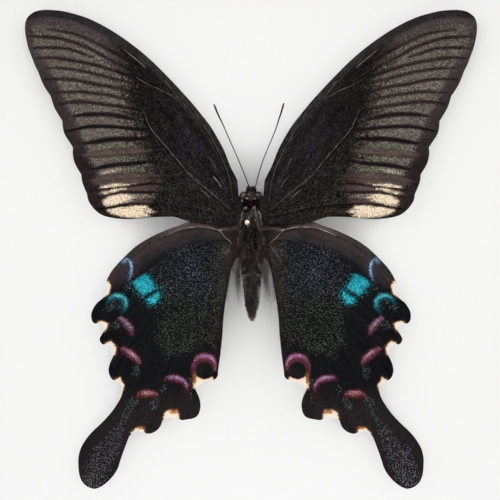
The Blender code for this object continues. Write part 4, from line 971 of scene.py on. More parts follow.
def forewing_look(p):
    """Ground, dust and cover of the forewing at flat points: bands, strokes, rows and patches in turn."""
    grain = noise(p, 0.32, seed=11)
    streak = noise(turned(p, 14), 0.6, seed=12, squeeze=(0.2, 1.0))
    to_edge = to_line(p, [q for run in FOREWING_RUNS[1:6] for q in smooth_line(run, 1.0)])[0]
    into = depth_in(p, COSTAL_INNER + [(60, 56), (60, 0), (3, 0)])
    costal = ramp(-into, -0.9, 0.6)
    cell = depth_in(p, DISCAL_CELL)
    ground = forewing_ground(p, grain, costal, cell, to_edge)
    field, bright, from_left = grey_field(p, grain, streak, into)
    strokes = strongest(p, FOREWING_STROKES, soft=0.4, share=0.72)
    wider = strongest(p, FOREWING_STROKES, soft=0.5)
    bands = strongest(p, FOREWING_BANDS, soft=0.7, taper=0.3)
    low = ramp(p[:, 1], 36, 31)
    ground = paint(ground, CELL_BROWN, field * bright**1.5 * (1 - strokes) * (1 - bands))
    dark = blend(p, STROKE_BROWN, STROKE_BLACK, np.maximum(low, ramp(from_left, 6.5, 2.5)))
    ground = paint(ground, dark, strokes * ramp(p[:, 0], 20, 27) * ramp(to_edge, 0.1, 1.4))
    brown = blend(p, BAND_BROWN, BAND_RED, ramp(noise(p, 3.5, seed=18), 0.45, 0.9) * 0.8)
    seen = bands * ramp(p[:, 0], 18, 30) * ramp(to_edge, 0.8, 3.4) * (1 - 0.8 * strokes)
    ground = paint(ground, brown * (0.86 + 0.28 * streak)[:, None], seen)
    green = strongest(p, GREEN_ROWS, soft=0.7) * ramp(p[:, 1], 40, 30)
    dust = blend(p, SCALE_GREY, SCALE_GREEN, 0.8 * green + 0.4 * ramp(noise(p, 3.0, seed=19), 0.45, 0.9))
    dust = dust * (0.52 + 0.3 * streak + 0.7 * noise(p, 0.34, seed=16))[:, None]
    dust = paint(ground, dust, ramp(bright, 0.0, 0.16))
    dust = paint(dust, dark, 0.85 * wider * (0.7 + 0.3 * low))
    cover = GREY_COVER * (0.3 + 0.7 * ramp(bright, 0.0, 1.0)) * field
    cover = cover * (1 - 0.85 * bands) * (1 - 0.6 * strokes)
    specks, basal, sprinkled = basal_specks(p, cell, field * bright, costal)
    dust = paint(dust, specks, basal)
    cover = np.maximum(cover, sprinkled)
    for half, strength, line in GOLD_STREAKS:
        mask = stroke(p, line, half, soft=1.0, taper=0.5) * (1 - strokes)
        dust = paint(dust, CREAM_UNDER, mask * (1 - field * bright))
        cover = np.maximum(cover, strength * mask)
    cream = cream_marks(p, grain, streak, strokes)
    dust = paint(dust, CREAM_UNDER, ramp(cream, 0.0, 0.25) * ramp(p[:, 1], 17, 15))
    dust = paint(dust, tone(p, CREAM) * (0.9 + 0.2 * noise(p, 0.4, seed=29))[:, None], cream**1.2)
    ground = paint(ground, CREAM_BETWEEN, cream**1.7)
    return ground, dust, np.maximum(cover, CREAM_COVER * ramp(cream, 0.0, 0.4))


def crescent(p, line, inner):
    """(distance, how far towards the bow's outer side from -1 to 1, half width, strength) round a bow. The
    side is how much nearer a point is to the same line moved BOW_SHIFT away from the bow's inner point."""
    fine = smooth_line(line, 0.3)
    distance, share = to_line(p, fine[:, :2])
    half, strength = (np.interp(share, np.linspace(0, 1, len(fine)), fine[:, k]) for k in (2, 3))
    away = fine[:, :2] - np.array(inner)
    moved = fine[:, :2] + BOW_SHIFT * away / np.linalg.norm(away, axis=1)[:, None]
    return distance, np.clip((distance - to_line(p, moved)[0]) / BOW_SHIFT, -1, 1), half, strength


def hindwing_field(p, cloud):
    """Ground, dust and cover of the hindwing without its marks: black, brown along its leading edge, with a
    brown-pink streak at the root that is made lighter as painted light against the forewing's shadow, a
    speckled field, loose specks and a sprinkled tail."""
    ground = tone(p, VELVET_BLACK)
    ground = paint(ground, HIND_BROWN, ramp(depth_in(p, BROWN_EDGE), -1.4, 2.2) * (0.8 + 0.3 * cloud))
    above = depth_in(p, COSTAL_VEIN + [(26, 1.2), (30, -1.6), (40, 12), (3, 12)])
    ground = paint(ground, COSTAL_PALE, ramp(above, -0.1, 0.4) * ramp(p[:, 0], 23, 16) * ramp(p[:, 0], 6, 12))
    ground = paint(ground, HIND_ROOT, ramp(p[:, 0], 10, 5) * (0.7 + 0.5 * cloud))
    # The root streak is the brown-pink band, made lighter as painted light where the forewing's edge casts
    # its shadow
    ground = paint(ground, ROOT_PINK_PAINTED_LIGHT, stroke(p, ROOT_LIGHTENED_STREAK, 0.3, soft=0.6))
    ground = paint(ground, TAIL_BROWN, ramp(-p[:, 1], 31, 40))
    dust = blend(p, SPECK_BLUE, SPECK_GREEN, ramp(-p[:, 1] + 0.25 * (p[:, 0] - 15), 6, 15))
    dust = paint(dust, SPECK_GOLD, ramp(p[:, 0] + 0.1 * p[:, 1], 11, 6) * 0.8)
    dust = paint(dust, LOOSE_TEAL, ramp(-p[:, 1], 34, 36))
    dust = paint(dust, TAIL_SPECK, ramp(-p[:, 1], 40, 44))
    field = ramp(depth_in(p, SPECK_FIELD) + 1.6 * (cloud - 0.5), -0.9, 1.6)
    cover = field * (0.46 + 0.3 * noise(p, 5.0, seed=23))
    along, share = to_line(p, TAIL_LINE)
    width = 0.9 + 2.1 * ramp(share, 0.25, 0.75)
    cover = np.maximum(cover, (0.44 + 0.2 * share) * (1 - ramp(along, width * 0.6, width * 1.25)))
    for half, line in LOOSE_SPECKS:
        mask = stroke(p, line, half, soft=0.6)
        dust = paint(dust, LOOSE_TEAL, mask)
        cover = np.maximum(cover, 0.6 * mask)
    return ground, dust, cover


def blue_patch(p, grain, ground, dust, cover):
    """The patch of bright blue scales, closed up in its middle, sprinkled round it and cut by black veins."""
    shape = np.max([depth_in(p, ring) for ring in CYAN_PATCH], axis=0)
    patch = ramp(shape + 0.5 * (grain - 0.5), -0.35, 0.7)
    upper = stroke(p, CYAN_VEINS[2], 0.2, soft=0.3)
    around = ramp(shape, -1.6, 0.0) * (1 - ramp(p[:, 0] + 1.3 * p[:, 1], 18.5, 19.5))
    cut = np.max([stroke(p, line, 0.09, soft=0.14) for line in CYAN_VEINS], axis=0)
    cover = np.maximum(cover, 0.5 * around)
    dust = paint(dust, CYAN, ramp(around, 0.2, 0.9))
    dust = paint(dust, CYAN_BRIGHT, patch * ramp(noise(p, 0.4, seed=24), 0.35, 0.9) * 0.7)
    dust = dust * (1 - patch * (0.45 - 0.65 * noise(p, 0.7, seed=33)))[:, None]
    ground = paint(ground, CYAN_DEEP, patch * (0.6 + 0.4 * ramp(shape, 0.0, 1.0)))
    cover = np.maximum(cover, 0.97 * patch) * (1 - 0.85 * cut) * (1 - 0.8 * upper)
    return paint(ground, VELVET_BLACK, cut), dust, cover


def crescents(p, grain, ground, dust, cover):
    """The row of crescents: bows of scales in the rim's colour, with a bloom in the core's colour."""
    for core, rim, inner, line in LUNULES:
        distance, side, half, strength = crescent(p, line, inner)
        mask = 1 - ramp(distance + 0.5 * (grain - 0.5), half - 0.35, half + 0.35)
        out = side * distance / half
        bloom = (1 - ramp(np.abs(out - 0.25), 0.15, 0.6)) * ramp(strength, 0.3, 1.0)
        tint = blend(p, rim, core, bloom * (0.7 + 0.6 * noise(p, 0.45, seed=26)))
        tint = tint * (0.35 + 0.65 * strength)[:, None]
        thin = ramp(strength, 0.1, 0.7) * (1 - 0.4 * ramp(-out, 0.2, 1.0))
        dust = paint(dust, tint * (0.75 + 0.6 * noise(p, 0.36, seed=25))[:, None], ramp(mask, 0.0, 0.25))
        ground = paint(ground, tint * 0.45, mask * thin)
        cover = np.maximum(cover * (1 - ramp(mask, 0.0, 0.5)), mask * (0.45 + 0.44 * thin))
    return ground, dust, cover


def eyespot_and_fringes(p, grain, ground, cover):
    """The black eyespot with its thin red rim, the orange spots, and the cream fringes in the notches."""
    spot = np.linalg.norm(p - np.array(EYESPOT), axis=1)
    disc = 1 - ramp(spot, EYESPOT_RADIUS - 0.15, EYESPOT_RADIUS + 0.12)
    lined = (1 - ramp(np.abs(spot - EYESPOT_RADIUS - 0.2), 0.1, 0.4)) * ramp(p[:, 1], -30.2, -28.6)
    ground = paint(ground, EYESPOT_RED, lined * 0.8)
    cover = cover * (1 - 0.6 * lined)
    ground = paint(ground, EYESPOT_BLACK, disc)
    cover = cover * (1 - disc)
    amber = np.zeros(len(p))
    for (u, v), wide, high in ORANGE_SPOTS:
        reach = np.hypot((p[:, 0] - u) / wide, (p[:, 1] - v) / high)
        mask = (1 - ramp(reach + 0.4 * (grain - 0.5), 0.4, 1.2)) * (1 - disc)
        amber = np.maximum(amber, mask)
        ground = paint(ground, ORANGE, mask)
        cover = cover * (1 - mask)
    depth = np.max([depth_in(p, ring) for ring in FRINGES], axis=0) + 0.35 * (grain - 0.5)
    fringe = ramp(depth, -0.15, 0.2) * (1 - disc)
    ground = paint(ground, FRINGE_RIM, ramp(depth, -0.6, -0.1) * (1 - disc) * 0.7)
    peach = blend(p, FRINGE_PEACH, FRINGE_CREAM, ramp(depth, 0.05, 0.6))
    peach = paint(peach, FRINGE_GOLD, amber)
    return paint(ground, peach, fringe * (1 - 0.3 * amber)), cover * (1 - fringe)


def hindwing_look(p):
    """Ground, dust and cover of the hindwing: field, blue patch, crescents, eyespot and fringes in turn."""
    grain = noise(p, 0.32, seed=21)
    layers = hindwing_field(p, noise(p, 3.2, seed=22))
    layers = blue_patch(p, grain, *layers)
    ground, dust, cover = crescents(p, grain, *layers)
    ground, cover = eyespot_and_fringes(p, grain, ground, cover)
    return ground, dust, cover


def wing_sheet(outline, step):
    """Points and triangles of a flat sheet: a lattice of triangles inside the outline, joined to it."""
    low, high = outline.min(axis=0), outline.max(axis=0)
    rows = np.arange(low[1], high[1], step * math.sqrt(0.75))
    u, v = np.meshgrid(np.arange(low[0], high[0], step), rows)
    u = u + step / 2 * (np.arange(len(rows)) % 2)[:, None]
    lattice = np.column_stack([u.ravel(), v.ravel()])
    lattice = lattice[inside(lattice, outline)]
    lattice = lattice[to_line(lattice, np.vstack([outline, outline[:1]]))[0] > 0.45 * step]
    places = [Vector(q) for q in np.vstack([outline, lattice])]
    rim = list(range(len(outline)))
    made = geometry.delaunay_2d_cdt(places, list(zip(rim, rim[1:] + rim[:1])), [rim], 1, 1e-5)
    flat, triangles = np.array([tuple(q) for q in made[0]]), np.array(made[2])
    a, b, c = (flat[triangles[:, k]] for k in range(3))
    turn = (b[:, 0] - a[:, 0]) * (c[:, 1] - a[:, 1]) - (b[:, 1] - a[:, 1]) * (c[:, 0] - a[:, 0])
    return flat, np.where((turn < 0)[:, None], triangles[:, ::-1], triangles)


def add_wings_of(kind, runs, look, height, veins, folds, material, slot):
    """Both wings of a kind: an upper and a lower sheet, walled along their rim, and the same mirrored."""
    top_step, under_step = ((TOP_SPACING, UNDER_SPACING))
    outline = np.vstack([smooth_line(run, top_step)[:-1] for run in runs])
    above, top_faces = wing_sheet(outline, top_step)
    below, under_faces = wing_sheet(outline, under_step)
    rim = np.arange(len(outline))
    after = np.roll(rim, -1)
    if np.sum(outline[rim, 0] * outline[after, 1] - outline[after, 0] * outline[rim, 1]) < 0:
        rim, after = after, rim
    first = len(above)
    walls = np.column_stack([rim, rim + first, after + first, after])
    faces = [top_faces, under_faces[:, ::-1] + first, walls]
    flat = np.vstack([above, below])
    h = wing_surface(flat, height, veins, folds) - SHEET_THICK * (np.arange(len(flat)) >= first)
    ground, dust, cover = look(flat)
    for side, word in SIDES:
        points = at(np.column_stack([side * flat[:, 0], flat[:, 1], h]))
        turned_faces = faces if side == 1 else [block[:, ::-1] for block in faces]
        add_mesh(f"{kind}_{word}_scaled", points, turned_faces, material, slot, (f"{kind}_{word}",),
                 ground=ground, dust=dust, cover=cover)


def tube_grid(path, sides):
    """Rings of a tube round a path of (u, v, h, radius), in planes square to it."""
    middle, radius = path[:, :3], path[:, 3]
    along = np.gradient(middle, axis=0)
    along /= np.linalg.norm(along, axis=1)[:, None]
    across = np.cross(along, np.array([0.0, 0.0, 1.0]))
    across /= np.linalg.norm(across, axis=1)[:, None]
    third = np.cross(across, along)
    angle = np.linspace(0, 2 * np.pi, sides, endpoint=False)
    ring = across[:, None] * np.cos(angle)[None, :, None] + third[:, None] * np.sin(angle)[None, :, None]
    return middle[:, None] + radius[:, None, None] * ring


def add_bare_veins(kind, lines, height, veins, folds, slot):
    """Worn veins that stand bare: tapering tubes half sunk in the wing's skin, paler where they are worn."""
    for side, word in SIDES:
        lots = []
        for half, strength, line in lines:
            flat = smooth_line(line, 0.25)
            share = np.linspace(0, 1, len(flat))
            radius = half * (0.4 + 0.6 * ramp(np.minimum(share, 1 - share), 0, 0.2))
            h = wing_surface(flat, height, veins, folds) + 0.35 * radius
            path = np.column_stack([side * flat[:, 0], flat[:, 1], h, radius])
            points, faces = capped(tube_grid(path, 8))
            worn = strength * (0.1 + 1.2 * noise(points[:, :2], 1.1, seed=41))
            worn = worn * (0.6 + 0.8 * noise(points[:, :2], 0.3, seed=42))
            lots.append((points, faces, blend(points, COSTAL_EDGE, BARE_VEIN, worn)))
        add_lots(f"{kind}_{word}_bare_veins", lots, slot)


def hairs(roots, ways, lengths, radii, curl, seed):
    """Points and faces of tapering three-sided hairs: root, two rings and a tip, bent towards curl."""
    count = len(roots)
    helper = np.where(np.abs(ways[:, :1]) < 0.9, np.array([[1.0, 0.0, 0.0]]), np.array([[0.0, 1.0, 0.0]]))
    across = np.cross(ways, helper)
    across /= np.linalg.norm(across, axis=1)[:, None]
    third = np.cross(ways, across)
    spin = np.random.default_rng(seed).random(count) * 2 * np.pi
    rows = []
    for share, taper in HAIR_RINGS:
        middle = roots + ways * (lengths * share)[:, None] + curl * (lengths * share**2)[:, None]
        for k in range(3):
            angle = spin + k * 2 * np.pi / 3
            side = across * np.cos(angle)[:, None] + third * np.sin(angle)[:, None]
            rows.append(middle + side * (radii * taper)[:, None])
    rows.append(roots + ways * lengths[:, None] + curl * lengths[:, None])
    points = np.stack(rows, axis=1)
    pattern = [(2, 1, 0)] + [(6 + k, 6 + (k + 1) % 3, 9) for k in range(3)]
    for a, b in ((0, 1), (1, 2), (2, 0), (3, 4), (4, 5), (5, 3)):
        pattern += [(a, b, b + 3), (a, b + 3, a + 3)]
    faces = (np.arange(count) * HAIR_POINTS)[:, None, None] + np.array(pattern)[None]
    return points.reshape(-1, 3), faces.reshape(-1, 3)


def hair_lot(roots, out, length, radius, seed, lean, colours, spread=0.45):
    """Hairs at roots: along the outward way there and the lean, in tufts that sway together."""
    draw = np.random.default_rng(seed)
    count = len(roots)
    sway = np.stack([noise(roots[:, :2], 0.8, seed + k) - 0.5 for k in (1, 2, 3)], axis=1)
    ways = out + np.array(lean) + 1.2 * sway + spread * draw.normal(size=(count, 3))
    ways /= np.linalg.norm(ways, axis=1)[:, None]
    lengths = length * (0.55 + 0.75 * draw.random(count))
    curl = 0.35 * np.array(lean) + 0.12 * draw.normal(size=(count, 3))
    points, faces = hairs(roots, ways, lengths, radius * (0.7 + 0.6 * draw.random(count)), curl, seed + 4)
    return points, [faces], np.repeat(colours, HAIR_POINTS, axis=0)


def surface_roots(grid, count, seed):
    """Random places on a body's grid, weighted by area, and the outward directions there."""
    draw = np.random.default_rng(seed)
    a, b = grid, np.roll(grid, -1, axis=1)
    c = np.vstack([grid[1:], grid[-1:]])
    normal = np.cross(b - a, c - a)
    flip = np.sign(np.sum(normal * (a - grid.mean(axis=1, keepdims=True)), axis=-1, keepdims=True))
    size = np.linalg.norm(normal, axis=-1)
    unit = normal * flip / np.maximum(size, 1e-9)[..., None]
    pick = draw.choice(size.size, count, p=(size / size.sum()).ravel())
    s, t = draw.random((2, count, 1))
    flat_a, flat_b, flat_c = (part.reshape(-1, 3)[pick] for part in (a, b, c))
    return flat_a + (flat_b - flat_a) * s + (flat_c - flat_a) * t, unit.reshape(-1, 3)[pick]


def body_grid(rings, rows, sides):
    """Points of a body on a grid: rings carried along it, each an ellipse round its own middle."""
    fine = smooth_line(rings, FINE_STEP)
    pick = np.linspace(0, len(fine) - 1, rows).round().astype(int)
    v, middle, half, top, bottom = (fine[pick, k][:, None] for k in range(5))
    angle = np.linspace(0, 2 * np.pi, sides, endpoint=False)[None, :]
    u = middle + half * np.cos(angle)
    h = (top + bottom) / 2 + (top - bottom) / 2 * np.sin(angle)
    return np.stack([u, v + 0 * angle, h], axis=-1)


def body_top(rings, flat):
    """Height of a body's upper side at (u, v): the ellipse of the ring there."""
    table = np.array(rings, float)[::-1]
    middle, half, top, bottom = (np.interp(flat[:, 1], table[:, 0], table[:, k]) for k in (1, 2, 3, 4))
    across = np.clip(1 - ((flat[:, 0] - middle) / half) ** 2, 0, 1)
    return (top + bottom) / 2 + (top - bottom) / 2 * np.sqrt(across)


def ellipsoid(middle, halves, rows=28, sides=36):
    """Rings of an ellipsoid from its lower end to its upper end in v: cosine for v, sine for the radius."""
    polar = np.linspace(np.pi, 0, rows + 2)[1:-1][:, None]
    angle = np.linspace(0, 2 * np.pi, sides, endpoint=False)[None, :]
    u = middle[0] + halves[0] * np.sin(polar) * np.cos(angle)
    v = middle[1] + halves[1] * np.cos(polar) + 0 * angle
    h = middle[2] + halves[2] * np.sin(polar) * np.sin(angle)
    return np.stack([u, v, h], axis=-1)


def horn_material(name, specular, rough):
    """Black horn, with a fine leathery grain."""
    made, tree, shader = new_material(name, 0.2, specular=specular)
    grain = tree.speckle(tree.place(), 2600.0)
    tree.wire(shader.inputs, Base_Color=tree.tones(grain, HORN_TONES),
              Roughness=tree.span(grain, 0.3, 0.7, rough - 0.08, rough + 0.08),
              Normal=tree.bump(grain, 0.2, 0.00005))
    return made


def eye_material():
    """Compound eye: dark brown with a pinkish bloom, and a net of tiny facets that breaks up its gloss."""
    made, tree, shader = new_material("compound eye", 0.55, specular=0.12)
    place = tree.place()
    net = {"Vector": place, "Scale": FACETS_PER_METRE}
    facets = tree.add("ShaderNodeTexVoronoi", net).outputs["Distance"]
    blotch = tree.span(tree.speckle(place, 900.0), 0.35, 0.7)
    tree.wire(shader.inputs, Base_Color=tree.tones(blotch, EYE_TONES),
              Normal=tree.bump(facets, 0.25, 0.00003))
    return made


def fur_material(name, roughness):
    """Hair, body scales and worn veins: the piece's own colour, broken up by fine noise."""
    made, tree, shader = new_material(name, roughness, specular=0.1)
    own = tree.own("ground")
    fine = tree.speckle(tree.place(), 3800.0, 2.0)
    tree.wire(shader.inputs, Base_Color=tree.times(own, tree.span(fine, 0.25, 0.75, 0.7, 1.3)),
              Normal=tree.bump(fine, 0.2, 0.00003))
    return made


def brass_material():
    """Brass in the piece's own colour, which holds a painted highlight in the middle of the head and painted
    shade at its rim, with a little tarnish.
    """
    made, tree, shader = new_material("pin brass", 0.32, metallic=1.0)
    tarnish = tree.speckle(tree.place(), 2400.0, 4.0)
    tree.wire(shader.inputs,
              Base_Color=tree.times(tree.own("ground"), tree.span(tarnish, 0.4, 0.75, 1.35, 1.0)),
              Roughness=tree.span(tarnish, 0.3, 0.8, 0.26, 0.42))
    return made


def steel_material():
    """Zinc-plated steel: grey, with cloudy tone and fine scratches along X."""
    made, tree, shader = new_material("bright steel", 0.35, metallic=1.0)
    place = tree.place()
    scratch = tree.speckle(tree.stretched(place, (90.0, 5200.0, 5200.0)), 1.0)
    tree.wire(shader.inputs, Base_Color=tree.tones(tree.speckle(place, 260.0), STEEL_TONES),
              Roughness=tree.span(scratch, 0.3, 0.7, 0.32, 0.44), Normal=tree.bump(scratch, 0.1, 0.00001))
    return made


def wood_grain():
    """Group: straight grain along the vector's X, from stretched noise, with pores and a few darker years."""
    outputs = {"Color": "Color", "Roughness": "Float", "Height": "Float"}
    group, tree, given, result = new_group("wood grain", {"Vector": "Vector"}, outputs)
    years = tree.speckle(tree.stretched(given["Vector"], (7.0, 130.0, 130.0)), 1.0, 4.0, 0.6)
    fibre = tree.speckle(tree.stretched(given["Vector"], (45.0, 1900.0, 1900.0)), 1.0, 2.0)
    pore = tree.span(fibre, 0.36, 0.5)
    wood = tree.tones(tree.span(years, 0.3, 0.7), WOOD_TONES)
    tree.wire(result, Color=tree.mix(pore, rgba(WOOD_PORE), wood),
              Roughness=tree.span(years, 0.2, 0.8, 0.42, 0.3), Height=pore)
    return group


def wood_material(name, turn, grain):
    """Stained wood under satin varnish, its grain turned to run along the rail."""
    made, tree, shader = new_material(name, 0.38, specular=0.4, Coat_Weight=0.15, Coat_Roughness=0.3)
    along = tree.add("ShaderNodeMapping", {"Vector": tree.place(), "Rotation": turn}).outputs[0]
    wood = tree.add("ShaderNodeGroup", node_tree=grain)
    tree.wire(wood.inputs, Vector=along)
    tree.wire(shader.inputs, Base_Color=wood.outputs["Color"], Roughness=wood.outputs["Roughness"],
              Normal=tree.bump(wood.outputs["Height"], 0.25, 0.00008))
    return made


def board_material():
    """White matt board with a faint paper tooth and slight clouding."""
    made, tree, shader = new_material("white board", 0.9, specular=0.2)
    place = tree.place()
    tooth = tree.speckle(place, 1500.0, 4.0)
    clouds = tree.math("MULTIPLY", tree.speckle(place, 40.0, 2.0), 0.5)
    mottled = tree.math("MULTIPLY_ADD", tooth, 0.5, clouds)
    tree.wire(shader.inputs, Base_Color=tree.tones(mottled, BOARD_TONES),
              Normal=tree.bump(tooth, 0.12, 0.00005))
    return made


def fibreboard_material():
    """Brown hardboard: matt, with matted fibres in two tones."""
    made, tree, shader = new_material("brown fibreboard", 0.8, specular=0.3)
    fibres = tree.speckle(tree.place(), 1500.0, 6.0, 1.6)
    tree.wire(shader.inputs, Base_Color=tree.tones(tree.span(fibres, 0.35, 0.65), FIBRE_TONES),
              Normal=tree.bump(fibres, 0.3, 0.0001))
    return made


def glass_material():
    """Clear glass with little glare, which lets lamp light through unbent."""
    made, tree, shader = new_material("clear glass", 0.0, specular=0.5, Transmission_Weight=1.0, IOR=1.2)
    shader.inputs["Base Color"].default_value = GLASS_TINT
    path = tree.add("ShaderNodeLightPath")
    lamp = tree.math("MAXIMUM", path.outputs["Is Shadow Ray"], path.outputs["Is Diffuse Ray"])
    clear = tree.add("ShaderNodeBsdfTransparent", {"Color": GLASS_TINT})
    mixed = tree.add("ShaderNodeMixShader", {0: lamp, 1: shader.outputs[0], 2: clear.outputs[0]})
    tree.put(made.node_tree.nodes["Material Output"].inputs["Surface"], mixed.outputs[0])
    return made


def give(material, *starts):
    """Puts a material on every CAD node whose name begins with one of the words."""
    for name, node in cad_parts.items():
        if name.startswith(starts):
            node.data.materials.clear()
            node.data.materials.append(material)


def finish_frame():
    """The CAD nodes that stay: rails, glass, boards, steel and the legs and tongue."""
    grain = wood_grain()
    level = wood_material("stained wood level", (0.0, 0.0, 0.0), grain)
    upright = wood_material("stained wood upright", (0.0, math.radians(90), 0.0), grain)
    give(level, "frame_rail_top", "frame_rail_bottom")
    give(upright, "frame_rail_left", "frame_rail_right")
    give(board_material(), "spacer", "backing_board")
    give(fibreboard_material(), "back_panel")
    give(steel_material(), "back_tab", "sawtooth_hanger", "hanger_nail")
    give(glass_material(), "front_glass")
    give(HORN, "leg", "proboscis")


def skin_lot(grid, colour_of, seed):
    """A body's closed skin, from its grid and a maker of colours."""
    points, faces = capped(grid)
    return points, faces, colour_of(points, seed)


def fur_on(grid, count, length, radius, seed, lean, colour_of, spread=0.45):
    """Hairs all over a body's grid."""
    roots, out = surface_roots(grid, count, seed + 9)
    return hair_lot(roots, out, length, radius, seed, lean, colour_of(roots, seed + 8), spread)


def skin_colours(points, seed):
    """Black skin, cloudy in places."""
    return tone(points, SKIN_BLACK) * (0.7 + 0.6 * noise(points[:, :2], 0.5, seed))[:, None]


def dome_top(middle, halves, flat):
    """Height of an ellipsoid's upper side at (u, v), and far below it where it has none."""
    reach = ((flat[:, 0] - middle[0]) / halves[0]) ** 2 + ((flat[:, 1] - middle[1]) / halves[1]) ** 2
    return np.where(reach < 1, middle[2] + halves[2] * np.sqrt(np.clip(1 - reach, 0, 1)), FAR_BELOW)


def thorax_top(flat):
    """Height of the highest of the thorax, its shoulder plates and the collar."""
    mirrored = np.column_stack([np.abs(flat[:, 0]), flat[:, 1]])
    domes = [dome_top(*SHOULDER_PLATE, mirrored), dome_top(*COLLAR, flat)]
    return np.max([body_top(THORAX_RINGS, flat), *domes], axis=0)


def thorax_colours(roots, seed):
    """Green-black hair in lighter and darker tufts, brown down the sides of the waist, with loose pale
    hairs, a lighter crown and a darker middle."""
    draw = np.random.default_rng(seed)
    flat = roots[:, :2]
    tuft = ramp(noise(flat, 0.5, seed + 1), 0.35, 0.8)
    colours = blend(roots, HAIR_BLACK, HAIR_GREEN, 0.9 * tuft * draw.random(len(roots)) ** 0.5)
    flank = ramp(np.abs(flat[:, 0]), 0.9, 2.2) * ramp(flat[:, 1], 5.0, 2.5)
    colours = paint(colours, HAIR_BROWN, flank * (0.4 + 0.6 * draw.random(len(roots))))
    colours = paint(colours, HAIR_PALE, (draw.random(len(roots)) < 0.09) * (roots[:, 2] > 0) * 0.8)
    crown = ramp(1.5 - np.abs(flat[:, 0] - 0.4), 0.0, 0.8) * ramp(1.4 - np.abs(flat[:, 1] - 8.2), 0.0, 0.8)
    middle = ramp(1.8 - np.abs(flat[:, 0]), 0.0, 0.9) * ramp(1.9 - np.abs(flat[:, 1] - 4.6), 0.0, 1.0)
    light = 1 + 0.9 * crown - 0.4 * middle - 0.25 * ramp(flat[:, 1], 9.0, 9.8)
    return colours * (light * (0.6 + 0.8 * draw.random(len(roots))))[:, None]


def tint_colours(colour):
    """A maker of hair colours round one tone, each hair a little lighter or darker."""
    def made(roots, seed):
        draw = np.random.default_rng(seed)
        return tone(roots, colour) * (0.45 + 1.1 * draw.random(len(roots)))[:, None]
    return made


def stripe_lot(line, per_mm, length, radius, seed, lean, colour, reach=0.13, lift=0.55):
    """Hairs along a line on the thorax, lying down with the lean."""
    draw = np.random.default_rng(seed)
    fine = smooth_line(line, FINE_STEP)
    count = int(per_mm * FINE_STEP * len(fine))
    flat = fine[draw.integers(0, len(fine), count)] + reach * draw.normal(size=(count, 2))
    roots = np.column_stack([flat, thorax_top(flat) + lift])
    out = 0.4 * np.column_stack([0.25 * flat[:, 0], np.zeros(count), np.ones(count)])
    colours = tint_colours(colour)(roots, seed + 2)
    return hair_lot(roots, out, length, radius, seed + 1, lean, colours, spread=0.25)


def add_thorax():
    """The thorax: its skin, shoulder plates, thick short hair, pale stripes along the plates, and longer
    brown tufts over the wings' roots."""
    grid = body_grid(THORAX_RINGS, 60, 48)
    lots = [skin_lot(grid, skin_colours, seed=40)]
    for side in BOTH_SIDES:
        (u, v, h), halves = SHOULDER_PLATE
        plate = ellipsoid((side * u, v, h), halves, rows=20, sides=24)
        lots.append(skin_lot(plate, skin_colours, seed=41))
        lots.append(fur_on(plate, count=420, length=0.8, radius=0.05, seed=120 + side,
                           lean=(0.1 * side, -1.0, 0.0), colour_of=tint_colours(PLATE_HAIR)))
    lots.append(fur_on(grid, count=5800, length=0.8, radius=0.045, seed=50, lean=(0.0, -0.75, 0.1),
                       colour_of=thorax_colours))
    for k, (colour, reach, line) in enumerate(PALE_STRIPES):
        lots.append(stripe_lot(line, per_mm=300 * reach, length=0.6, radius=0.03, seed=130 + 5 * k,
                               lean=(0.0, -0.9, 0.15), colour=colour, reach=reach))
    for k, (colour, length, line, lean) in enumerate(ROOT_TUFTS):
        lots.append(stripe_lot(line, per_mm=70, length=length, radius=0.04, seed=180 + 5 * k, lean=lean,
                               colour=colour, reach=0.3, lift=0.2))
    add_lots("thorax_haired", lots, "body_hair", "thorax")


def abdomen_colours(roots, seed):
    """Brown-black in blotches, paler down the flanks and on the hind rim of each segment."""
    draw = np.random.default_rng(seed)
    flat = roots[:, :2]
    off = np.abs(flat[:, 0] - 0.2)
    colours = blend(roots, ABDOMEN_BLACK, ABDOMEN_BROWN, 0.9 * ramp(noise(flat, 0.6, seed=61), 0.35, 0.75))
    colours = paint(colours, ABDOMEN_FLANK, ramp(off, 0.9, 2.1) * ramp(noise(flat, 0.9, seed=62), 0.2, 0.8))
    ends = 1 - ramp(np.min([np.abs(roots[:, 1] - end) for end in SEGMENT_ENDS], axis=0), 0.1, 0.4)
    colours = paint(colours, ABDOMEN_FLANK, ends * 0.1 * ramp(noise(flat, 0.8, seed=63), 0.3, 0.8))
    shade = 0.7 + 0.7 * ramp(flat[:, 1], -3.0, -11.0) + 0.7 * ramp(off, 1.0, 2.0) * ramp(-flat[:, 1], 1, 6)
    shade = shade * (1 + 0.24 * ramp(flat[:, 0], 0.4, 1.1) - 0.14 * ramp(-flat[:, 0], 0.2, 0.9))
    colours = colours * (shade * (0.7 + 0.6 * noise(flat, 0.35, seed=64)))[:, None]
    colours = paint(colours, ABDOMEN_TIP, 0.8 * ramp(flat[:, 1], -13.5, -15.5))
    return colours * (0.65 + 0.7 * draw.random(len(roots)))[:, None]


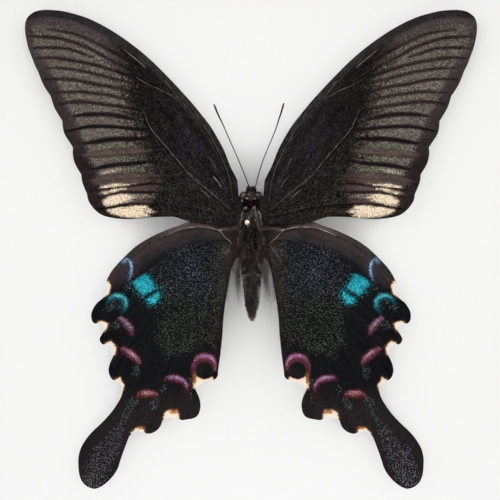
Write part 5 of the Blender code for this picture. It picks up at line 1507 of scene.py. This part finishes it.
def add_abdomen():
    """The abdomen: a tapering grid with a step at each segment's end, under scales that lie down flat and
    ragged hairs along its sides."""
    grid = body_grid(ABDOMEN_RINGS, 150, 56)
    v = grid[:, 0, 1]
    swell = np.zeros(len(v))
    for end in SEGMENT_ENDS:
        rise = 0.13 * np.exp(-(((v - end - 0.25) / 0.35) ** 2))
        swell += rise - 0.14 * np.exp(-(((v - end + 0.1) / 0.14) ** 2))
    middle = grid.mean(axis=1, keepdims=True)
    grid = middle + (grid - middle) * (1 + swell / 2.0)[:, None, None]
    lots = [skin_lot(grid, abdomen_colours, seed=60)]
    lots.append(fur_on(grid[:-12], count=4200, length=0.42, radius=0.045, seed=70, lean=(0.0, -2.2, 0.0),
                       colour_of=abdomen_colours))
    roots, out = surface_roots(grid, 1500, 75)
    side = np.abs(out[:, 0]) > 0.75
    lots.append(hair_lot(roots[side], out[side], length=0.55, radius=0.03, seed=76, lean=(0.0, -0.9, 0.0),
                         colours=abdomen_colours(roots[side], 77), spread=0.5))
    add_lots("abdomen_haired", lots, "body_hair", "abdomen")


def add_head():
    """The head: glossy knobs, two eyes, and a capsule, palps and collar under dark scales."""
    knobs = [capped(ellipsoid(middle, halves, 12, 16)) for middle, halves in HEAD_KNOBS]
    points, faces, _ = joined([(*lump, np.zeros((len(lump[0]), 3))) for lump in knobs])
    add_mesh("head_knobs", at(points), faces, KNOB_HORN, "black_horn")
    for side, word in SIDES:
        points, faces = capped(ellipsoid((side * EYE_MIDDLE[0], *EYE_MIDDLE[1:]), EYE_HALVES))
        add_mesh(f"eye_{word}", at(points), faces, EYE, "black_horn")
    dark = tint_colours(HEAD_HAIR)
    capsule = ellipsoid(*HEAD_CAPSULE)
    lots = [skin_lot(capsule, dark, seed=78)]
    lots.append(fur_on(capsule, count=900, length=0.16, radius=0.05, seed=79, lean=(0.0, 0.6, 0.0),
                       colour_of=dark))
    for side in BOTH_SIDES:
        palp = ellipsoid((side * PALP_MIDDLE[0], *PALP_MIDDLE[1:]), PALP_HALVES)
        lots.append(skin_lot(palp, dark, seed=80))
        lots.append(fur_on(palp, count=420, length=0.4, radius=0.045, seed=84 + side, lean=(0.0, 0.9, 0.1),
                           colour_of=tint_colours(PALP_HAIR)))
    collar = ellipsoid(*COLLAR, rows=14)
    lots.append(skin_lot(collar, skin_colours, seed=105))
    lots.append(fur_on(collar, count=1500, length=0.6, radius=0.05, seed=110, lean=(0.0, 0.4, 0.3),
                       colour_of=tint_colours(COLLAR_HAIR)))
    add_lots("head_haired", lots, "body_hair", "head")


def add_wing_hairs():
    """Loose hair over the wings' roots and down the hindwings' inner margins, where it closes the top of the
    gaps beside the abdomen and stands in for the shade in them, with two long tufts that draw streaks of
    shade: feet drawn along a line, each hair sent its way with a little stray and curl."""
    lots = []
    for k, (sides, count, length, radius, colour, way, stray, line) in enumerate(WING_HAIRS):
        for side in sides:
            draw = np.random.default_rng(300 + 4 * k + side)
            fine = smooth_line(line, FINE_STEP)
            mirrored = np.array([side, 1.0, 1.0])
            feet = np.linspace(0, len(fine) - 1, count).round().astype(int)
            roots = fine[feet] * mirrored + 0.14 * draw.normal(size=(count, 3))
            ways = np.tile(np.array(way) * mirrored, (count, 1)) + stray * draw.normal(size=(count, 3))
            ways /= np.linalg.norm(ways, axis=1)[:, None]
            lengths = length * (0.2 + 0.9 * draw.random(count))
            curl = 0.06 * draw.normal(size=(count, 3))
            radii = radius * (0.7 + 0.6 * draw.random(count))
            points, faces = hairs(roots, ways, lengths, radii, curl, 320 + k)
            colours = np.repeat(tint_colours(colour)(roots, 330 + k), HAIR_POINTS, axis=0)
            lots.append((points, [faces], colours))
    add_lots("wing_root_hair", lots, "body_hair")


def add_antennae():
    """Each antenna: a ringed thread that thickens to a club, as a tube along its path."""
    for word, knots in ANTENNAE.items():
        path = smooth_line(knots, 0.06)
        path[:, 3] *= 1 + 0.05 * np.sin(np.arange(len(path)) * 2 * np.pi / 6)
        points, faces = capped(tube_grid(path, 14))
        add_mesh(f"antenna_{word}_ringed", at(points), faces, HORN, "black_horn", (f"antenna_{word}",))


def add_pin():
    """The insect pin, turned: a ball head, a straight shaft and a point, round a line out of the plane."""
    low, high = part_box("insect_pin")
    head = WING_Y - low.y / MM - PIN_HEAD_RADIUS
    tip = WING_Y - high.y / MM
    angles = np.radians(np.linspace(4, 160, 30))
    shaft = [head - 1.5, head - 6.0, tip + PIN_POINT, tip]
    h = np.concatenate([head + PIN_HEAD_RADIUS * np.cos(angles), shaft])
    r = np.concatenate([PIN_HEAD_RADIUS * np.sin(angles), [PIN_RADIUS] * 3, [PIN_POINT_RADIUS]])
    turn = np.linspace(0, 2 * np.pi, 40, endpoint=False)[None, :]
    u = PIN_AT[0] + r[:, None] * np.cos(turn)
    v = PIN_AT[1] + r[:, None] * np.sin(turn)
    points, faces = capped(np.stack([u, v, h[:, None] + 0 * turn], axis=-1))
    off_axis = np.hypot(points[:, 0] - PIN_AT[0], points[:, 1] - PIN_AT[1]) / PIN_HEAD_RADIUS
    # Pale in the middle of the head as a painted highlight, fading to the darker gold of its rim as painted
    # shade
    off_highlight = np.where(points[:, 2] > head, ramp(off_axis, 0.45, 0.95), 1.0)
    add_mesh("insect_pin_turned", at(points, seen=False), faces, BRASS, "pin_brass", ("insect_pin",),
             ground=blend(points, PIN_HIGHLIGHT_PALE, PIN_GOLD_AND_RIM_SHADE, off_highlight))


def add_wings():
    """The four wings, and the worn veins that stand bare on them."""
    scales = scattered_scales()
    fore = (forewing_height, FOREWING_VEINS, FOREWING_FOLDS)
    hind = (hindwing_height, HINDWING_VEINS, HINDWING_FOLDS)
    add_wings_of("forewing", FOREWING_RUNS, forewing_look, *fore,
                 wing_material("forewing scales", scales, 3800.0, 0.28, 0.75), "forewing_scales")
    add_wings_of("hindwing", HINDWING_RUNS, hindwing_look, *hind,
                 wing_material("hindwing scales", scales, 3000.0, 0.225, 0.72), "hindwing_scales")
    add_bare_veins("forewing", FOREWING_PALE_VEINS, *fore, "forewing_scales")
    add_bare_veins("hindwing", HINDWING_PALE_VEINS, *hind, "hindwing_scales")


# Stage, light and camera
FLOOR_SIDE = 6.0
FIELD = 121.7
FIELD_MIDDLE = (-0.243, 0.0)
LENS = 135.0
SENSOR = 36.0
# The room is dimmer before the frame than at its sides: brightness there, and the span between in the way's x
FRONT_LIGHT = 0.8
SIDE_LIGHT = 3.5
SIDE_SPAN = (0.15, 0.55)
# Soft square lamps that gloss alone shows: place, side and power
GLOSS_LAMPS = {
    "near_left": ((-0.42, -0.62, 0.42), 0.14, 4.4),
    "near_right": ((0.42, -0.62, 0.42), 0.14, 4.4),
    "side_left": ((-1.35, -0.75, 0.5), 1.0, 6.0),
    "side_right": ((1.35, -0.75, 0.5), 1.0, 6.0),
    "high": ((0.0, -0.75, 0.62), 0.2, 30.0),
    "above": ((0.0, -0.3, 1.7), 1.0, 6.0),
    "behind": ((0.0, 1.6, -0.1), 2.0, 11.0),
    "behind_left": ((-1.4, 1.3, 0.5), 1.4, 7.0),
    "behind_right": ((1.4, 1.3, 0.5), 1.4, 7.0),
}


def add_floor():
    """A plain pale floor, level with the foot of the frame."""
    half = FLOOR_SIDE / 2
    corners = [(-half, -half, 0), (half, -half, 0), (half, half, 0), (-half, half, 0)]
    mesh = bpy.data.meshes.new("floor")
    mesh.from_pydata(corners, [], [(0, 1, 2, 3)])
    made, _, shader = new_material("pale floor", 0.8, specular=0.2)
    shader.inputs["Base Color"].default_value = FLOOR_TINT
    mesh.materials.append(made)
    floor = bpy.data.objects.new("floor", mesh)
    floor.visible_glossy = False
    floor.visible_transmission = False
    bpy.context.scene.collection.objects.link(floor)


def add_light():
    """A white room that no gloss shows, and soft lamps round the object that gloss alone shows."""
    aim = Vector((0.0, 0.0, CENTRE_Z * MM))
    for word, (place, side, power) in GLOSS_LAMPS.items():
        data = bpy.data.lights.new(f"lamp_{word}", "AREA")
        data.size = side
        data.energy = power
        lamp = bpy.data.objects.new(f"lamp_{word}", data)
        lamp.location = place
        lamp.rotation_euler = (aim - Vector(place)).to_track_quat("-Z", "Y").to_euler()
        lamp.visible_diffuse = False
        lamp.visible_camera = False
        bpy.context.scene.collection.objects.link(lamp)
    world = bpy.data.worlds.new("white room")
    bpy.context.scene.world = world
    world.use_nodes = True
    world.node_tree.nodes["Background"].inputs["Color"].default_value = (1.0, 1.0, 1.0, 1.0)
    tree = Tree(world.node_tree)
    way = tree.add("ShaderNodeSeparateXYZ", {0: tree.add("ShaderNodeTexCoord").outputs["Generated"]}).outputs
    light = tree.span(tree.math("ABSOLUTE", way["X"]), *SIDE_SPAN, FRONT_LIGHT, SIDE_LIGHT)
    tree.put(world.node_tree.nodes["Background"].inputs["Strength"], light)
    world.cycles_visibility.glossy = False
    world.cycles_visibility.transmission = False


def add_camera():
    """Square to the board, with the photograph's field at the wings' plane."""
    data = bpy.data.cameras.new("camera")
    data.lens = LENS
    data.sensor_width = SENSOR
    data.clip_start = 0.01
    camera = bpy.data.objects.new("camera", data)
    distance = FIELD / 2 * MM / (SENSOR / 2 / LENS)
    camera.location = (FIELD_MIDDLE[0] * MM, WING_Y * MM - distance, (CENTRE_Z + FIELD_MIDDLE[1]) * MM)
    camera.rotation_euler = (math.radians(90), 0.0, 0.0)
    bpy.context.scene.collection.objects.link(camera)
    bpy.context.scene.camera = camera


HORN = horn_material("black horn", 0.22, 0.36)
KNOB_HORN = horn_material("glossy horn", 1.0, 0.17)
EYE = eye_material()
BRASS = brass_material()
FUR = fur_material("body hair", 0.7)

finish_frame()
add_wings()
add_thorax()
add_abdomen()
add_head()
add_wing_hairs()
add_antennae()
add_pin()
add_floor()
add_light()
add_camera()
bpy.context.scene.view_settings.view_transform = "Khronos PBR Neutral"
